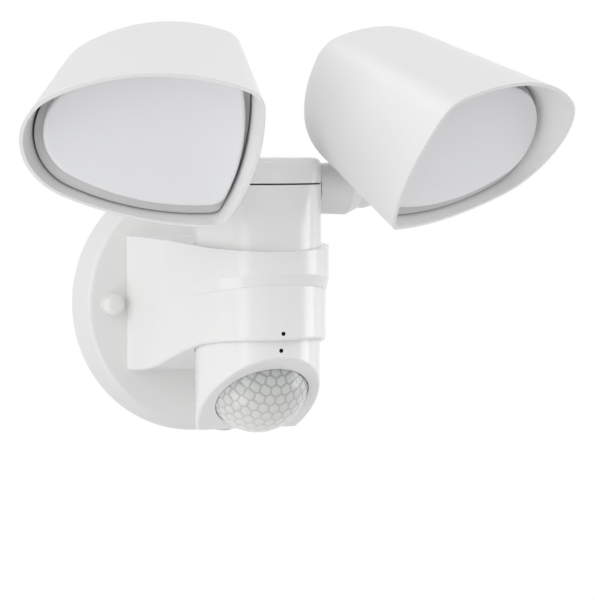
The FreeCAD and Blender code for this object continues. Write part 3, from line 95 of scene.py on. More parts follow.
class MaterialSketch:
    """Short way to write a material's node tree."""

    def __init__(self, name: str) -> None:
        """Start an empty tree with a Principled shader at its output.

        Args:
            name: Name of the material.
        """
        self.material = bpy.data.materials.new(name)
        self.material.use_nodes = True
        self.tree = self.material.node_tree
        self.tree.nodes.clear()
        output = self.node("ShaderNodeOutputMaterial")
        self.shader = self.node("ShaderNodeBsdfPrincipled")
        self.tree.links.new(self.shader.outputs["BSDF"], output.inputs["Surface"])

    def node(self, kind: str, **settings: object) -> bpy.types.Node:
        """Add a node and set its properties or input sockets by name.

        Args:
            kind: Type name of the node.
            settings: Properties of the node, or inputs given as name=value or name=socket.

        Returns:
            The new node.
        """
        made = self.tree.nodes.new(kind)
        for key, value in settings.items():
            if hasattr(made, key):
                setattr(made, key, value)
            else:
                self.feed(made, key.replace("_", " "), value)
        return made

    def feed(self, node: bpy.types.Node, name: str, value: object) -> None:
        """Give a node's input a constant or a link.

        Args:
            node: Node that owns the input.
            name: Name of the input socket.
            value: A socket to link, or a constant.
        """
        socket = node.inputs[name]
        if isinstance(value, Socket):
            self.tree.links.new(value, socket)
        else:
            socket.default_value = value

    def place(self) -> Socket:
        """Object coordinates."""
        return self.node("ShaderNodeTexCoord").outputs["Object"]

    def noise(self, size_mm: float, detail: float = 2.0, stretch: RGB = (1, 1, 1)) -> Socket:
        """Noise of a given grain size on object coordinates.

        Args:
            size_mm: Size of one grain.
            detail: Number of finer octaves.
            stretch: Scale of the pattern along each axis.

        Returns:
            The noise factor.
        """
        mapping = self.node("ShaderNodeMapping", Vector=self.place(), Scale=stretch)
        grain = self.node("ShaderNodeTexNoise", Vector=mapping.outputs[0], Scale=1 / (size_mm * MM),
                          Detail=detail)
        return grain.outputs["Fac"]

    def math(self, operation: str, first: object, second: object = 0.0) -> Socket:
        """Math node with one or two operands."""
        made = self.node("ShaderNodeMath", operation=operation)
        for socket, value in zip(made.inputs, (first, second)):
            if isinstance(value, Socket):
                self.tree.links.new(value, socket)
            else:
                socket.default_value = value
        return made.outputs[0]

    def blend(self, factor: Socket, low: RGB, high: RGB) -> Socket:
        """Colour between two shades by a factor."""
        ramp = self.node("ShaderNodeValToRGB", Fac=factor)
        ramp.color_ramp.elements[0].color = (*low, 1)
        ramp.color_ramp.elements[1].color = (*high, 1)
        return ramp.outputs["Color"]

    def mix(self, factor: Socket, low: RGB, high: RGB) -> Socket:
        """Straight mix of two colours, which may lie above 1."""
        made = self.node("ShaderNodeMix", data_type="RGBA")
        self.tree.links.new(factor, made.inputs["Factor"])
        made.inputs[6].default_value = (*low, 1)
        made.inputs[7].default_value = (*high, 1)
        return made.outputs[2]

    def spread(self, factor: Socket, low: float, high: float) -> Socket:
        """Map a factor of 0 to 1 onto a range."""
        return self.node("ShaderNodeMapRange", Value=factor, To_Min=low, To_Max=high).outputs[0]


@dataclass(frozen=True)
class Finish:
    """Surface finish with faint colour variation, uneven gloss and fine relief."""

    name: str
    colour: RGB
    roughness: float
    relief: Relief = Relief.SATIN
    relief_size: float = 0.8
    relief_depth: float = 0.01
    variation: float = 0.02
    metallic: float = 0.0
    specular: float = 0.5
    coat: float = 0.0
    coat_roughness: float = 0.05
    subsurface: float = 0.0
    edge_radius: float = 0.0
    gloss_spread: float = 0.12

    def material(self) -> bpy.types.Material:
        """The finish as a material, made once."""
        label = f"{self.name}_finish"
        known = bpy.data.materials.get(label)
        if known:
            return known
        sketch = MaterialSketch(label)
        self.apply_sheen(sketch)
        self.apply_colour(sketch)
        self.apply_relief(sketch)
        sketch.material.diffuse_color = (*self.colour, 1)
        return sketch.material

    def apply_sheen(self, sketch: MaterialSketch) -> None:
        """Set what is the same all over the surface."""
        sheen = {
            "Metallic": self.metallic,
            "Specular IOR Level": self.specular,
            "Coat Weight": self.coat,
            "Coat Roughness": self.coat_roughness,
            "Subsurface Weight": self.subsurface,
            "Subsurface Scale": SCATTER_DEPTH * MM,
            "Subsurface Radius": (1.0, 1.0, 1.0),
        }
        for name, value in sheen.items():
            sketch.feed(sketch.shader, name, value)

    def apply_colour(self, sketch: MaterialSketch) -> None:
        """Colour with slow, faint variation, and uneven gloss."""
        slow = sketch.noise(SLOW_GRAIN, 3.0)
        low = tuple(c * (1 - self.variation) for c in self.colour)
        high = tuple(min(1.0, c * (1 + self.variation)) for c in self.colour)
        sketch.feed(sketch.shader, "Base Color", sketch.blend(slow, low, high))
        self.apply_gloss(sketch)

    def apply_gloss(self, sketch: MaterialSketch) -> None:
        """Roughness that wavers by a share of itself."""
        least = self.roughness * (1 - self.gloss_spread)
        most = min(1.0, self.roughness * (1 + self.gloss_spread))
        rough = sketch.spread(sketch.noise(FINE_GRAIN, 4.0), least, most)
        sketch.feed(sketch.shader, "Roughness", rough)

    def height(self, sketch: MaterialSketch) -> Socket:
        """Height field of the finish's relief, 0 to 1."""
        if self.relief is Relief.FOAM:
            cells = sketch.node("ShaderNodeTexVoronoi", Vector=sketch.place(),
                                Scale=1 / (self.relief_size * MM))
            return cells.outputs["Distance"]
        if self.relief is Relief.BRUSHED:
            return sketch.noise(self.relief_size, 2.0, BRUSH_STRETCH)
        return sketch.noise(self.relief_size, GRAIN_DETAIL[self.relief])

    def apply_relief(self, sketch: MaterialSketch) -> None:
        """Bump from the height field, over edges eased by a small radius."""
        bump = sketch.node("ShaderNodeBump", Height=self.height(sketch), Strength=1.0,
                           Distance=self.relief_depth * MM)
        if self.edge_radius:
            eased = sketch.node("ShaderNodeBevel", samples=6, Radius=self.edge_radius * MM)
            sketch.feed(bump, "Normal", eased.outputs[0])
        sketch.feed(sketch.shader, "Normal", bump.outputs[0])


@dataclass(frozen=True)
class LensFinish(Finish):
    """Milky lens moulding: cells show under a smooth, clear outer skin, with painted shade in the
    grooves and at the top, and painted light lower down.
    """

    # painted shade: colour of the grooves between cells, fading downwards by the share below
    groove: RGB = (0.33, 0.345, 0.34)
    fade: float = 0.74
    deep: RGB = (0.74, 0.75, 0.74)
    # painted shade at the top under the rim, and pale is painted light towards the bottom
    pale: RGB = (1.50, 1.44, 1.44)
    centre: RGB = (0.0, 0.0, 0.0)
    top_z: float = -24.0
    bottom_z: float = -58.0
    line_from: float = 0.66
    groove_roughness: float = 1.5

    def apply_colour(self, sketch: MaterialSketch) -> None:
        """Lighter cells with grooves darkened as painted shade, which fade while the painted tone
        turns from shade at the top to light lower down.

        Args:
            sketch: Material that gets the nodes.
        """
        edge = sketch.node("ShaderNodeAttribute", attribute_name=CELL_EDGE).outputs["Fac"]
        height = sketch.node("ShaderNodeSeparateXYZ", Vector=sketch.place()).outputs[2]
        low_share = sketch.node("ShaderNodeMapRange", Value=height, From_Min=self.top_z * MM,
                                From_Max=self.bottom_z * MM).outputs[0]
        line = sketch.node("ShaderNodeMapRange", interpolation_type="SMOOTHSTEP", Value=edge,
                           From_Min=self.line_from, From_Max=1.0).outputs[0]
        fade = sketch.math("SUBTRACT", 1.0, sketch.math("MULTIPLY", low_share, self.fade))
        # painted shade: grooves darker in colour, less so lower down
        cell = sketch.mix(sketch.math("MULTIPLY", line, fade), self.colour, self.groove)
        # painted shade at the top turning to painted light below, a multiplier above 1
        painted_light_tone = sketch.mix(low_share, self.deep, self.pale)
        shaded = sketch.node("ShaderNodeMix", data_type="RGBA", blend_type="MULTIPLY")
        shaded.inputs["Factor"].default_value = 1.0
        sketch.tree.links.new(cell, shaded.inputs[6])
        sketch.tree.links.new(painted_light_tone, shaded.inputs[7])
        sketch.feed(sketch.shader, "Base Color", shaded.outputs[2])
        rough = sketch.spread(edge, self.roughness, self.roughness * self.groove_roughness)
        sketch.feed(sketch.shader, "Roughness", rough)

    def apply_relief(self, sketch: MaterialSketch) -> None:
        """Fine relief on the cells, and a smooth normal for the clear skin."""
        super().apply_relief(sketch)
        away = sketch.node("ShaderNodeVectorMath", operation="SUBTRACT")
        sketch.tree.links.new(sketch.place(), away.inputs[0])
        away.inputs[1].default_value = self.centre
        turned = sketch.node("ShaderNodeVectorTransform", vector_type="NORMAL",
                             convert_from="OBJECT", convert_to="WORLD", Vector=away.outputs[0])
        sketch.feed(sketch.shader, "Coat Normal", turned.outputs[0])


@dataclass(frozen=True)
class RecessFinish(Finish):
    """White coat with painted shade: its colour darkens where nearby walls close in, as down in a
    recess.
    """

    gloss_spread: float = 0.1
    # colour of the painted shade deep in a recess
    grey: RGB = (0.36, 0.36, 0.37)
    reach: float = 6.0

    def apply_colour(self, sketch: MaterialSketch) -> None:
        """Painted shade: colour darkened where nearby walls close in, and uneven gloss."""
        # painted shade: ambient occlusion darkens the white towards the painted shade colour near
        # walls
        open_share = sketch.node("ShaderNodeAmbientOcclusion", samples=8, Distance=self.reach * MM)
        painted_light_tone = sketch.blend(open_share.outputs["AO"], self.grey, self.colour)
        sketch.feed(sketch.shader, "Base Color", painted_light_tone)
        self.apply_gloss(sketch)


@dataclass(frozen=True)
class BoardFinish(Finish):
    """Solder mask over copper tracks."""

    track: RGB = (0.09, 0.36, 0.17)
    track_scale: float = 160.0
    track_width: float = 0.06
    second_shade: float = 0.92
    gloss_grain: float = 4.0
    gloss_range: tuple[float, float] = (0.3, 0.45)

    def apply_colour(self, sketch: MaterialSketch) -> None:
        """Two shades of mask in a pattern of straight tracks."""
        darker = [c * self.second_shade for c in self.colour]
        bricks = sketch.node("ShaderNodeTexBrick", Vector=sketch.place(), Scale=self.track_scale,
                             Mortar_Size=self.track_width, Color1=(*self.colour, 1),
                             Color2=(*darker, 1), Mortar=(*self.track, 1))
        sketch.feed(sketch.shader, "Base Color", bricks.outputs["Color"])
        rough = sketch.spread(sketch.noise(self.gloss_grain), *self.gloss_range)
        sketch.feed(sketch.shader, "Roughness", rough)


FINISHES = {made.name: made for made in (
    Finish("canopy_white", (0.82, 0.82, 0.815), 0.44, Relief.ORANGE_PEEL, 1.6, 0.006, 0.01),
    Finish("body_white", (0.86, 0.86, 0.855), 0.25, Relief.SATIN, 2.5, 0.002, 0.008,
           coat=0.25, coat_roughness=0.12, edge_radius=0.35),
    Finish("shade_white", (0.87, 0.87, 0.867), 0.50, Relief.ORANGE_PEEL, 1.3, 0.006, 0.01,
           edge_radius=0.45),
    Finish("arm_white", (0.86, 0.86, 0.855), 0.42, Relief.ORANGE_PEEL, 1.3, 0.006, 0.01,
           edge_radius=0.4),
    Finish("diffuser_opal", (0.87, 0.875, 0.893), 0.50, Relief.SATIN, 0.5, 0.002, 0.008,
           subsurface=0.35, edge_radius=0.5),
    Finish("nut_white", (0.81, 0.81, 0.80), 0.30, Relief.SATIN, 1.5, 0.002, 0.01, coat=0.3),
    Finish("zinc_steel", (0.62, 0.62, 0.59), 0.36, Relief.BRUSHED, 0.5, 0.006, 0.08, 1.0),
    Finish("screw_steel", (0.66, 0.66, 0.65), 0.28, Relief.SATIN, 0.4, 0.003, 0.05, 1.0),
    Finish("eyelet_brass", (0.75, 0.57, 0.26), 0.25, Relief.SATIN, 0.5, 0.003, 0.06, 1.0),
    Finish("ground_green", (0.04, 0.30, 0.11), 0.32, Relief.SATIN, 0.5, 0.003, 0.08, 0.4),
    Finish("gasket_foam", (0.035, 0.035, 0.036), 0.9, Relief.FOAM, 0.7, 0.15, 0.15),
    Finish("seal_rubber", (0.022, 0.022, 0.023), 0.62, Relief.SATIN, 0.4, 0.01, 0.1),
    BoardFinish("board_green", (0.03, 0.22, 0.09), 0.35, relief_size=1.5, relief_depth=0.01),
    Finish("board_white", (0.78, 0.78, 0.76), 0.35, Relief.SATIN, 1.0, 0.004, 0.02),
    Finish("led_yellow", (0.86, 0.70, 0.16), 0.4, Relief.SATIN, 0.3, 0.004, 0.05),
    # the tray carries painted shade in its recess round the diffuser
    RecessFinish("tray_white", (0.78, 0.78, 0.78), 0.55, Relief.CAST, 0.6, 0.015, 0.02),
    Finish("carrier_black", (0.03, 0.03, 0.031), 0.5, Relief.CAST, 0.5, 0.01, 0.1),
    Finish("detector_metal", (0.70, 0.67, 0.60), 0.25, Relief.SATIN, 0.5, 0.003, 0.04, 1.0),
    Finish("knob_white", (0.76, 0.76, 0.74), 0.35, Relief.SATIN, 0.5, 0.004, 0.02),
    Finish("mark_black", (0.006, 0.006, 0.006), 0.6, Relief.SATIN, 0.3, 0.004, 0.1,
           specular=0.15),
)}


def dress_nodes(names: Iterable[str]) -> None:
    """Give CAD nodes the finish of their own material slot.

    Args:
        names: Names of CAD nodes.
    """
    slots = {part["node"]: part["material_slot"] for part in frame["record"]["subparts"]}
    for name in names:
        finish = FINISHES[slots[name]]
        frame["nodes"][name].material_slots[0].material = finish.material()
        LOG.info("dressed %s in %s", name, finish.name)


# Mesh helpers


def lathe(profile: Sequence[tuple[float, float]], steps: int) -> bmesh.types.BMesh:
    """Mesh of revolution about the Z axis.

    Args:
        profile: Points as (radius, height). A radius of zero makes a pole.
        steps: Number of segments round the axis.

    Returns:
        A new mesh with merged seam and poles and outward normals.
    """
    made = bmesh.new()
    rings = []
    for radius, height in profile:
        turns = [2 * math.pi * i / steps for i in range(steps if radius > 0 else 1)]
        rings.append([made.verts.new((radius * math.cos(t), radius * math.sin(t), height))
                      for t in turns])
    for lower, upper in zip(rings, rings[1:]):
        for i in range(steps):
            j = (i + 1) % steps
            corners = [lower[i % len(lower)], lower[j % len(lower)],
                       upper[j % len(upper)], upper[i % len(upper)]]
            corners = list(dict.fromkeys(corners))
            if len(corners) > 2:
                made.faces.new(corners)
    bmesh.ops.recalc_face_normals(made, faces=made.faces)
    return made


def finished(made: bmesh.types.BMesh, name: str, place: Matrix) -> bpy.types.Object:
    """Turn a mesh in millimetres into an object in metres at the origin.

    Args:
        made: Mesh in millimetres, freed here.
        name: Name of the piece.
        place: Where the mesh goes, in millimetres.

    Returns:
        The linked object, shaded smooth.
    """
    made.transform(Matrix.Scale(MM, 4) @ place)
    mesh = bpy.data.meshes.new(name)
    made.to_mesh(mesh)
    made.free()
    mesh.polygons.foreach_set("use_smooth", [True] * len(mesh.polygons))
    piece = bpy.data.objects.new(name, mesh)
    bpy.context.scene.collection.objects.link(piece)
    return piece


def register(piece: bpy.types.Object, body: str, finish: Finish | None = None,
             stands_for: Sequence[str] = ()) -> None:
    """Dress a piece, hang it on its body and hide the nodes it stands for.

    Args:
        piece: Finished object at the origin.
        body: Body it moves with.
        finish: Its finish, left out where its mesh already carries one.
        stands_for: CAD nodes that it replaces.
    """
    if finish:
        piece.data.materials.clear()
        piece.data.materials.append(finish.material())
    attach(piece, body)
    if stands_for:
        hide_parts(*stands_for)
    LOG.info("piece %s on %s, %d faces", piece.name, body, len(piece.data.polygons))


class TreeSketch:
    """Short way to write a Geometry Nodes tree with named inputs."""

    def __init__(self, name: str) -> None:
        """Start a tree with a geometry input and output.

        Args:
            name: Name of the tree.
        """
        self.tree = bpy.data.node_groups.new(name, "GeometryNodeTree")
        for way in ("INPUT", "OUTPUT"):
            self.tree.interface.new_socket("Geometry", in_out=way, socket_type="NodeSocketGeometry")
        self.source = self.tree.nodes.new("NodeGroupInput")
        self.target = self.tree.nodes.new("NodeGroupOutput")
        self.identifiers: dict[str, str] = {}

    def size(self, name: str, default: float) -> Socket:
        """Add a named number as an input of the tree.

        Args:
            name: Name of the input.
            default: Value when nothing else is set.

        Returns:
            The socket that carries it.
        """
        made = self.tree.interface.new_socket(name, in_out="INPUT", socket_type="NodeSocketFloat")
        made.default_value = default
        self.identifiers[name] = made.identifier
        return self.source.outputs[name]

    def node(self, kind: str, *operands: object, **settings: object) -> bpy.types.Node:
        """Add a node, set its properties and feed its inputs.

        Args:
            kind: Type name of the node.
            operands: Values or sockets for its first inputs.
            settings: Properties, or inputs given by name with underscores for spaces.

        Returns:
            The new node.
        """
        made = self.tree.nodes.new(kind)
        for key, value in settings.items():
            if hasattr(made, key):
                setattr(made, key, value)
            else:
                self.feed(made.inputs[key.replace("_", " ")], value)
        for socket, value in zip(made.inputs, operands):
            self.feed(socket, value)
        return made

    def feed(self, socket: Socket, value: object) -> None:
        """Link a socket or set its constant."""
        if isinstance(value, Socket):
            self.tree.links.new(value, socket)
        else:
            socket.default_value = value

    def math(self, operation: str, *operands: object) -> Socket:
        """Math node."""
        return self.node("ShaderNodeMath", *operands, operation=operation).outputs[0]

    def vector(self, operation: str, *operands: object) -> bpy.types.Node:
        """Vector math node."""
        return self.node("ShaderNodeVectorMath", *operands, operation=operation)

    def finish(self, geometry: Socket, material: bpy.types.Material) -> None:
        """End the tree in Realize Instances and Set Material."""
        real = self.node("GeometryNodeRealizeInstances", geometry)
        dressed = self.node("GeometryNodeSetMaterial", Geometry=real.outputs[0],
                            Material=material)
        self.feed(self.target.inputs[0], dressed.outputs[0])


def grown(piece: bpy.types.Object, sketch: TreeSketch, sizes: dict[str, float]) -> None:
    """Run a tree on a piece and keep the result as its plain mesh.

    Args:
        piece: Object whose mesh the tree starts from.
        sketch: The tree.
        sizes: Values for its named inputs.
    """
    modifier = piece.modifiers.new(sketch.tree.name, "NODES")
    modifier.node_group = sketch.tree
    for name, value in sizes.items():
        modifier[sketch.identifiers[name]] = value
    graph = bpy.context.evaluated_depsgraph_get()
    graph.update()
    mesh = bpy.data.meshes.new_from_object(piece.evaluated_get(graph),
                                           preserve_all_data_layers=True, depsgraph=graph)
    piece.modifiers.remove(modifier)
    piece.data = mesh
    mesh.name = piece.name


# Sub-assemblies


@dataclass
class WallCanopy:
    """Round pan on the wall with its straps, studs, nuts and gasket."""

    nodes: tuple[str, ...] = ("wall_canopy", "canopy_gasket", "mounting_strap", "stud_strap",
                              "strap_eyelet", "canopy_studs", "cap_nuts", "ground_screw")

    def dress(self) -> None:
        """Give every node its finish."""
        dress_nodes(self.nodes)


@dataclass
class BracketArm:
    """Hollow arm with the collar, and the mark that the sensor's mark points at."""

    nodes: tuple[str, ...] = ("arm_bracket", "arm_screws", "housing_screws")
    collar_radius: float = 31.6
    mark_z: float = -9.5

    def build(self) -> None:
        """Make the black mark in the collar's dimple."""
        piece = alignment_mark("collar_mark", self.collar_radius, self.mark_z)
        register(piece, "base", FINISHES["mark_black"])

    def dress(self) -> None:
        """Give every node its finish."""
        dress_nodes(self.nodes)


def alignment_mark(name: str, wall_radius: float, height: float, radius: float = 0.97,
                   sink: float = 0.07, bowl: float = 0.08, thick: float = 0.25,
                   rings: int = 6, steps: int = 32) -> bpy.types.Object:
    """Dished black dot that sits in a round dimple of a vertical cylinder.

    Args:
        name: Name of the piece.
        wall_radius: Radius of the cylinder that carries it.
        height: Height of its centre.
        radius: Radius of the dot.
        sink: How far its edge lies below the wall.
        bowl: How far its middle lies below its edge.
        thick: Thickness at the edge.
        rings: Rings of faces on the bowl.
        steps: Segments round it.

    Returns:
        The finished object.
    """
    face = [(radius * i / rings, -bowl * (1 - (i / rings) ** 2)) for i in range(rings + 1)]
    made = lathe(face + [(radius, -thick), (0, -thick)], steps)
    spot = Matrix.Translation((0, AXIS_Y - wall_radius + sink, height))
    return finished(made, name, spot @ Matrix.Rotation(math.pi / 2, 4, "X"))


@dataclass
class UpperHousing:
    """Cylinder body above the collar, with its cap and the dark seam between them."""

    nodes: tuple[str, ...] = ("upper_housing", "top_cap", "cap_screws", "cap_seal", "driver_board")

    def dress(self) -> None:
        """Give every node its finish."""
        dress_nodes(self.nodes)


@dataclass
class MotionSensor:
    """Turning sensor housing with its lens of hexagonal cells, and the two knobs below."""

    nodes: tuple[str, ...] = ("sensor_housing", "sensor_neck", "neck_retainer", "lens_carrier",
                              "pir_board", "pir_detector", "control_board", "time_knob",
                              "range_knob")
    face_y: float = -86.6
    face_z: float = -40.8
    face_down_deg: float = 49.35
    dome_edge: float = 22.0
    dome_rise: float = 14.3
    dome_wall: float = 1.2
    flange_radius: float = 23.9
    flange_front: float = -2.5
    flange_thick: float = 1.2
    flange_ease: float = 0.2
    outer_steps: int = 84
    inner_steps: int = 24
    round_steps: int = 330
    cell_pitch: float = 5.1
    crown: float = 0.22
    skin: float = 0.01
    rim_overlap: float = 0.05
    sensor_radius: float = 28.94
    mark_z: float = -17.4

    @property
    def dome_radius(self) -> float:
        """Radius of the sphere that the dome is cut from."""
        return (self.dome_edge ** 2 + self.dome_rise ** 2) / (2 * self.dome_rise)

    @property
    def dome_sink(self) -> float:
        """Depth of the sphere's centre below the sensor face."""
        return self.dome_radius - self.dome_rise

    def face_place(self) -> Matrix:
        """Matrix from the dome's own axes, Z along the face normal, to the light's axes."""
        tip = math.radians(90 + self.face_down_deg)
        middle = Matrix.Translation((0, self.face_y, self.face_z))
        turned = middle @ Matrix.Rotation(tip, 4, "X")
        return turned @ Matrix.Translation((0, 0, -self.dome_sink))

    def lens_profile(self) -> list[tuple[float, float]]:
        """Section of the lens: outer dome, skirt, flange and inner dome."""
        front = self.flange_front + self.dome_sink
        back = front - self.flange_thick
        outer_end = math.asin(self.dome_edge / self.dome_radius)
        inner, bore = self.dome_radius - self.dome_wall, self.dome_edge - self.dome_wall
        inner_end = math.asin(bore / inner)
        outer = [(self.dome_radius * math.sin(a), self.dome_radius * math.cos(a))
                 for a in (outer_end * i / self.outer_steps for i in range(self.outer_steps + 1))]
        rim, ease = self.flange_radius, self.flange_ease
        flange = [(self.dome_edge, front), (rim - ease, front), (rim, front - ease),
                  (rim, back), (bore, back)]
        turns = (inner_end * (1 - i / self.inner_steps) for i in range(self.inner_steps + 1))
        under = [(inner * math.sin(a), inner * math.cos(a)) for a in turns]
        outer[0] = (0.0, self.dome_radius)
        under[-1] = (0.0, inner)
        return outer + flange + under

    def cell_edge(self, sketch: TreeSketch, radius: Socket, pitch: Socket) -> Socket:
        """Field that tells how near a point lies to the line between two cells.

        Args:
            sketch: Tree that gets the nodes.
            radius: Radius of the dome.
            pitch: Distance between two cells.

        Returns:
            0 at a cell's centre, rising to 1 on its hexagonal outline.
        """
        here = sketch.node("GeometryNodeInputPosition").outputs[0]
        spot = sketch.vector("NORMALIZE", here).outputs[0]
        across, along, depth = sketch.node("ShaderNodeSeparateXYZ", spot).outputs
        longitude = sketch.math("ARCTAN2", across, depth)
        row_step = sketch.math("DIVIDE", sketch.math("MULTIPLY", pitch, HEX_ROW_SHARE), radius)
        rows_up = sketch.math("DIVIDE", sketch.math("ARCSINE", along), row_step)
        middle = sketch.math("ROUND", rows_up)
        nearest, second = None, FAR
        for row_shift in (-1.0, 0.0, 1.0):
            row = sketch.math("ADD", middle, row_shift)
            latitude = sketch.math("MULTIPLY", row, row_step)
            ring = sketch.math("COSINE", latitude)
            step = sketch.math("DIVIDE", pitch, sketch.math("MULTIPLY", radius, ring))
            odd = sketch.math("ABSOLUTE", sketch.math("MODULO", row, 2.0))
            shift = sketch.math("MULTIPLY", odd, 0.5)
            columns_round = sketch.math("DIVIDE", longitude, step)
            first = sketch.math("FLOOR", sketch.math("SUBTRACT", columns_round, shift))
            for column_shift in (0.0, 1.0):
                column = sketch.math("ADD", sketch.math("ADD", first, column_shift), shift)
                turn = sketch.math("MULTIPLY", column, step)
                centre = sketch.node("ShaderNodeCombineXYZ",
                                     sketch.math("MULTIPLY", ring, sketch.math("SINE", turn)),
                                     sketch.math("SINE", latitude),
                                     sketch.math("MULTIPLY", ring, sketch.math("COSINE", turn)))
                gap = sketch.vector("DISTANCE", spot, centre.outputs[0]).outputs["Value"]
                gap = sketch.math("MULTIPLY", gap, radius)
                if nearest is not None:
                    second = sketch.math("MINIMUM", sketch.math("MAXIMUM", nearest, gap), second)
                    gap = sketch.math("MINIMUM", nearest, gap)
                nearest = gap
        lead = sketch.math("SUBTRACT", sketch.math("POWER", second, 2.0),
                           sketch.math("POWER", nearest, 2.0))
        share = sketch.math("DIVIDE", lead, sketch.math("POWER", pitch, 2.0))
        return sketch.math("SUBTRACT", 1.0, share)

    def cell_tree(self, material: bpy.types.Material) -> TreeSketch:
        """Tree that presses rows of crowned hexagonal cells into the dome.

        Args:
            material: Finish of the lens.

        Returns:
            The tree, with its sizes as named inputs.
        """
        sketch = TreeSketch("lens_cells")
        radius = sketch.size("Dome Radius", self.dome_radius)
        pitch = sketch.size("Cell Pitch", self.cell_pitch)
        crown = sketch.size("Crown", self.crown)
        rim = sketch.size("Rim Height", self.dome_sink)
        edge = self.cell_edge(sketch, radius, pitch)
        here = sketch.node("GeometryNodeInputPosition").outputs[0]
        distance = sketch.vector("LENGTH", here).outputs["Value"]
        outer = sketch.math("GREATER_THAN", distance, sketch.math("SUBTRACT", radius, self.skin))
        height = sketch.node("ShaderNodeSeparateXYZ", here).outputs[2]
        lowest = sketch.math("SUBTRACT", rim, self.rim_overlap)
        above = sketch.math("GREATER_THAN", height, lowest)
        sink = sketch.math("MULTIPLY", sketch.math("POWER", edge, 2.0), crown)
        sink = sketch.math("MULTIPLY", sink, sketch.math("MULTIPLY", outer, above))
        outward = sketch.vector("NORMALIZE", here).outputs[0]
        offset = sketch.node("ShaderNodeVectorMath", operation="SCALE", Vector=outward,
                             Scale=sketch.math("MULTIPLY", sink, -1.0))
        stored = sketch.node("GeometryNodeStoreNamedAttribute", data_type="FLOAT", domain="POINT",
                             Geometry=sketch.source.outputs[0], Name=CELL_EDGE)
        sketch.feed(stored.inputs["Value"], sketch.math("MULTIPLY", edge, outer))
        moved = sketch.node("GeometryNodeSetPosition", Geometry=stored.outputs[0],
                            Offset=offset.outputs[0])
        sketch.finish(moved.outputs[0], material)
        return sketch

    def build(self) -> None:
        """Make the lens and the black mark of the sensor housing."""
        place = self.face_place()
        centre = tuple(place.translation * MM)
        finish = LensFinish("lens_opal", (0.60, 0.62, 0.61), 0.38, Relief.SATIN, 0.5, 0.004,
                            specular=0.3, coat=0.8, coat_roughness=0.05, centre=centre)
        blank = lathe(self.lens_profile(), self.round_steps)
        piece = finished(blank, "sensor_lens", Matrix.Scale(1 / MM, 4))
        sizes = {"Dome Radius": self.dome_radius, "Cell Pitch": self.cell_pitch,
                 "Crown": self.crown, "Rim Height": self.dome_sink}
        grown(piece, self.cell_tree(finish.material()), sizes)
        piece.data.transform(Matrix.Scale(MM, 4) @ place)
        register(piece, "sensor", stands_for=["pir_lens"])
        mark = alignment_mark("sensor_mark", self.sensor_radius, self.mark_z)
        register(mark, "sensor", FINISHES["mark_black"])

    def dress(self) -> None:
        """Give every node its finish."""
        dress_nodes(self.nodes)


@dataclass
class LampHead:
    """Swivel arm and hooded lamp head of one side."""

    side: Side
    parts: tuple[str, ...] = ("swivel_arm", "head_stem", "stem_nut", "stem_washer", "stem_screw",
                              "lamp_shade", "led_tray", "tray_screws", "led_board",
                              "led_emitters", "diffuser_seal", "diffuser")

    def dress(self) -> None:
        """Give every node of this side its finish."""
        dress_nodes(f"{part}_{self.side.label}" for part in self.parts)


# Stage, light and camera


def direction(azimuth: float, elevation: float) -> Vector:
    """Unit vector towards a viewer.

    Args:
        azimuth: Degrees from straight in front, positive to the right.
        elevation: Degrees above the level.

    Returns:
        The vector.
    """
    az, el = math.radians(azimuth), math.radians(elevation)
    return Vector((math.sin(az) * math.cos(el), -math.cos(az) * math.cos(el), math.sin(el)))


@dataclass(frozen=True)
class Softbox:
    """Large area lamp that looks at the light's body."""

    name: str
    azimuth: float
    elevation: float
    distance: float
    width: float
    height: float
    power: float
    aim: tuple[float, float, float] = (0.0, -0.09, 0.03)

    def build(self) -> bpy.types.Object:
        """Make the lamp, hidden from the camera."""
        lamp = bpy.data.lights.new(self.name, "AREA")
        lamp.shape = "RECTANGLE"
        lamp.size, lamp.size_y = self.width, self.height
        lamp.energy = self.power
        made = bpy.data.objects.new(self.name, lamp)
        away = direction(self.azimuth, self.elevation)
        made.location = Vector(self.aim) + away * self.distance
        made.rotation_euler = away.to_track_quat("Z", "Y").to_euler()
        made.visible_camera = False
        bpy.context.scene.collection.objects.link(made)
        return made


